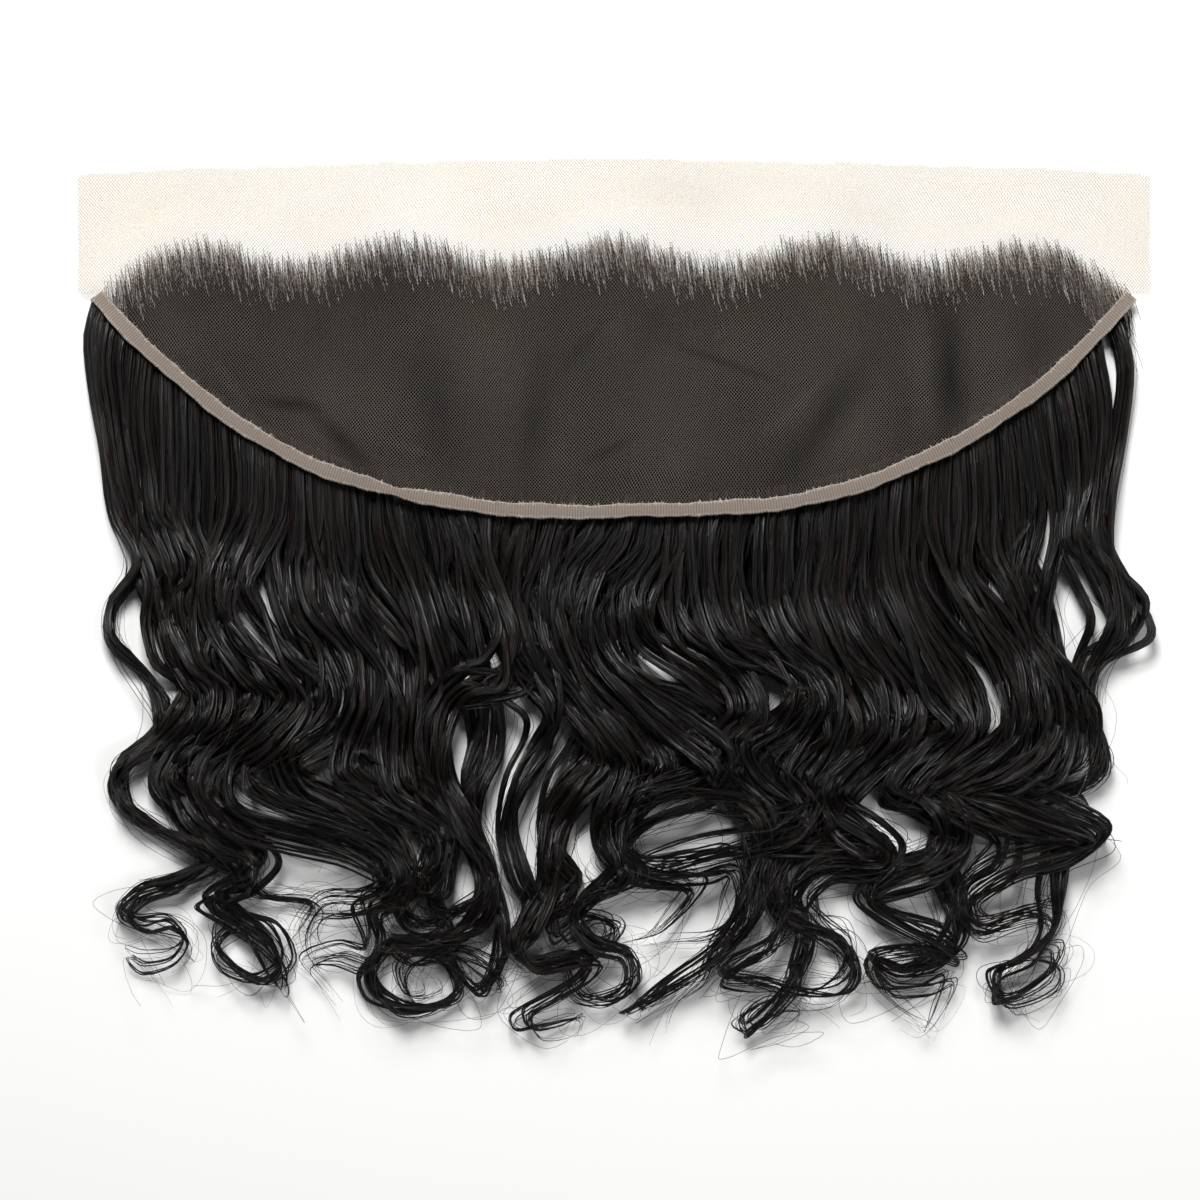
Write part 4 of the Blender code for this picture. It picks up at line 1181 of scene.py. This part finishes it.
class MakeHair(bpy.types.Operator):
    """Lays the wisps and single strands of the locks."""

    bl_idname = "hairpiece.make_hair"
    bl_label = "Make hair"

    def execute(self, context):
        sizes = context.scene.hair_settings
        draw = np.random.default_rng(sizes.seed)
        wisp_hair = hair_material("off-black hair, wisps", sizes.base, sizes.warm,
                                  streaks=8.0, shine=0.24, gloss=0.4)
        single_hair = hair_material("off-black hair, strands", sizes.base, sizes.warm,
                                    streaks=1.0, shine=0.3, gloss=0.4)
        # Loose hairs painted paler, as painted light
        loose_hair_painted_lit = hair_material("off-black hair, loose", sizes.base, sizes.light,
                                   streaks=1.0, shine=0.3, gloss=0.4)
        dress_hair("hair_flyaways", *flyaways(CURLS, draw), loose_hair_painted_lit, sides=3, flatness=1.0)
        for name, rows in CURL_GROUPS:
            broad = wisps(rows, draw, sizes.wisp, sizes.clumps, WISP_STEP)
            dress_hair(f"hair_wisps_{name}", *broad, wisp_hair, sides=4, flatness=0.4)
            fine = strands(rows, draw, sizes.strand, sizes.singles, STRAND_STEP)
            dress_hair(f"hair_strands_{name}", *fine, single_hair, sides=3, flatness=1.0)
        return {"FINISHED"}


class MakeRoots(bpy.types.Operator):
    """Lays the dense hair under the lace and the knots and first hairs at the hairline."""

    bl_idname = "hairpiece.make_roots"
    bl_label = "Make roots"

    def execute(self, context):
        sizes = context.scene.hair_settings
        draw = np.random.default_rng(sizes.seed + 1)
        bed = new_object("hair_bed", loop_solid("hair_bed", bed_sections(draw)))
        bed.data.materials.append(packed_hair_material(sizes))
        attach(bed, "root")
        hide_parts("hair")

        places = knot_places(draw, KNOT_SPACING, KNOT_REACH)
        first_hair = hair_material("off-black hair, first rows", sizes.base, sizes.warm,
                                   streaks=1.0, shine=0.75, gloss=0.06)
        dress_hair("hairline_hairs", *first_hairs(draw, places), first_hair, sides=3, flatness=1.0)

        front = places[places[:, 1] > hairline_y(places[:, 0]) - KNOT_SHOWN]
        dots = np.column_stack([front, under_lace(front[:, 0], front[:, 1]) + 0.45 * MM]) + BAND_MIDDLE
        mesh = bpy.data.meshes.new("knots")
        mesh.from_pydata(dots.tolist(), [], [])
        knots = new_object("knots", mesh)
        grown(knots, knot_tree(first_hair), {"Radius": KNOT_RADIUS, "Seed": 3})
        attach(knots, "root")
        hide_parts("hair")
        return {"FINISHED"}


class MakeStage(bpy.types.Operator):
    """Lays the white floor and sets the lights and the camera straight above."""

    bl_idname = "hairpiece.make_stage"
    bl_label = "Make stage"

    def execute(self, context):
        sizes = context.scene.stage_settings
        mesh = bpy.data.meshes.new("floor")
        half = FLOOR_HALF
        corners = [(-half, -half, 0), (half, -half, 0), (half, half, 0), (-half, half, 0)]
        mesh.from_pydata(corners, [], [(0, 1, 2, 3)])
        floor = new_object("floor", mesh)
        # Painted board: matt and nearly white, so that only the soft shadows show on it
        material, _, shader = new_material("white painted board")
        wire(shader, {"Base Color": linear("#F4F4F3"), "Roughness": 0.8})
        mesh.materials.append(material)

        across = (VIEW_STEPS / 2 - BAND_AT[0]) * VIEW_STEP
        down = (BAND_AT[1] - VIEW_STEPS / 2) * VIEW_STEP
        middle = Vector((BAND_MIDDLE[0] + across, BAND_MIDDLE[1] + down, 0.0))
        data = bpy.data.cameras.new("camera")
        data.lens = sizes.lens
        data.sensor_width = SENSOR
        camera = bpy.data.objects.new("camera", data)
        camera.location = middle + Vector((0.0, 0.0, VIEW_WIDTH * sizes.lens / SENSOR))
        context.scene.collection.objects.link(camera)
        context.scene.camera = camera

        for name, place, size, share in LIGHTS:
            lamp = bpy.data.lights.new(name, "AREA")
            lamp.shape = "SQUARE"
            lamp.size = size
            lamp.energy = sizes.key * share
            light = bpy.data.objects.new(name, lamp)
            light.location = Vector(place)
            light.rotation_euler = (middle - light.location).to_track_quat("-Z", "Y").to_euler()
            context.scene.collection.objects.link(light)
        world = bpy.data.worlds.new("room")
        world.use_nodes = True
        wire(world.node_tree.nodes["Background"], {"Strength": sizes.room, "Color": (1.0, 1.0, 1.0, 1.0)})
        context.scene.world = world
        context.scene.view_settings.view_transform = "Standard"
        return {"FINISHED"}


class HairpiecePanel(bpy.types.Panel):
    """Lists the settings and the pieces."""

    bl_idname = "HAIRPIECE_PT_panel"
    bl_label = "Lace frontal hairpiece"
    bl_space_type = "VIEW_3D"
    bl_region_type = "UI"
    bl_category = "Hairpiece"

    def draw(self, context):
        for label, _ in SETTINGS:
            group = getattr(context.scene, label)
            box = self.layout.box()
            for name in group.__annotations__:
                box.prop(group, name)
        for operator in OPERATORS:
            self.layout.operator(operator.bl_idname)


SETTINGS = (
    ("lace_settings", LaceSettings),
    ("band_settings", BandSettings),
    ("hair_settings", HairSettings),
    ("stage_settings", StageSettings),
)
OPERATORS = (MakeStage, MakeLace, MakeBand, MakeRoots, MakeHair)


def register():
    for label, group in SETTINGS:
        bpy.utils.register_class(group)
        setattr(bpy.types.Scene, label, PointerProperty(type=group))
    for operator in OPERATORS:
        bpy.utils.register_class(operator)
    bpy.utils.register_class(HairpiecePanel)


def unregister():
    bpy.utils.unregister_class(HairpiecePanel)
    for operator in reversed(OPERATORS):
        bpy.utils.unregister_class(operator)
    for label, group in reversed(SETTINGS):
        delattr(bpy.types.Scene, label)
        bpy.utils.unregister_class(group)


def main():
    register()
    for operator in OPERATORS:
        family, name = operator.bl_idname.split(".")
        getattr(getattr(bpy.ops, family), name)()


if __name__ == "__main__":
    main()
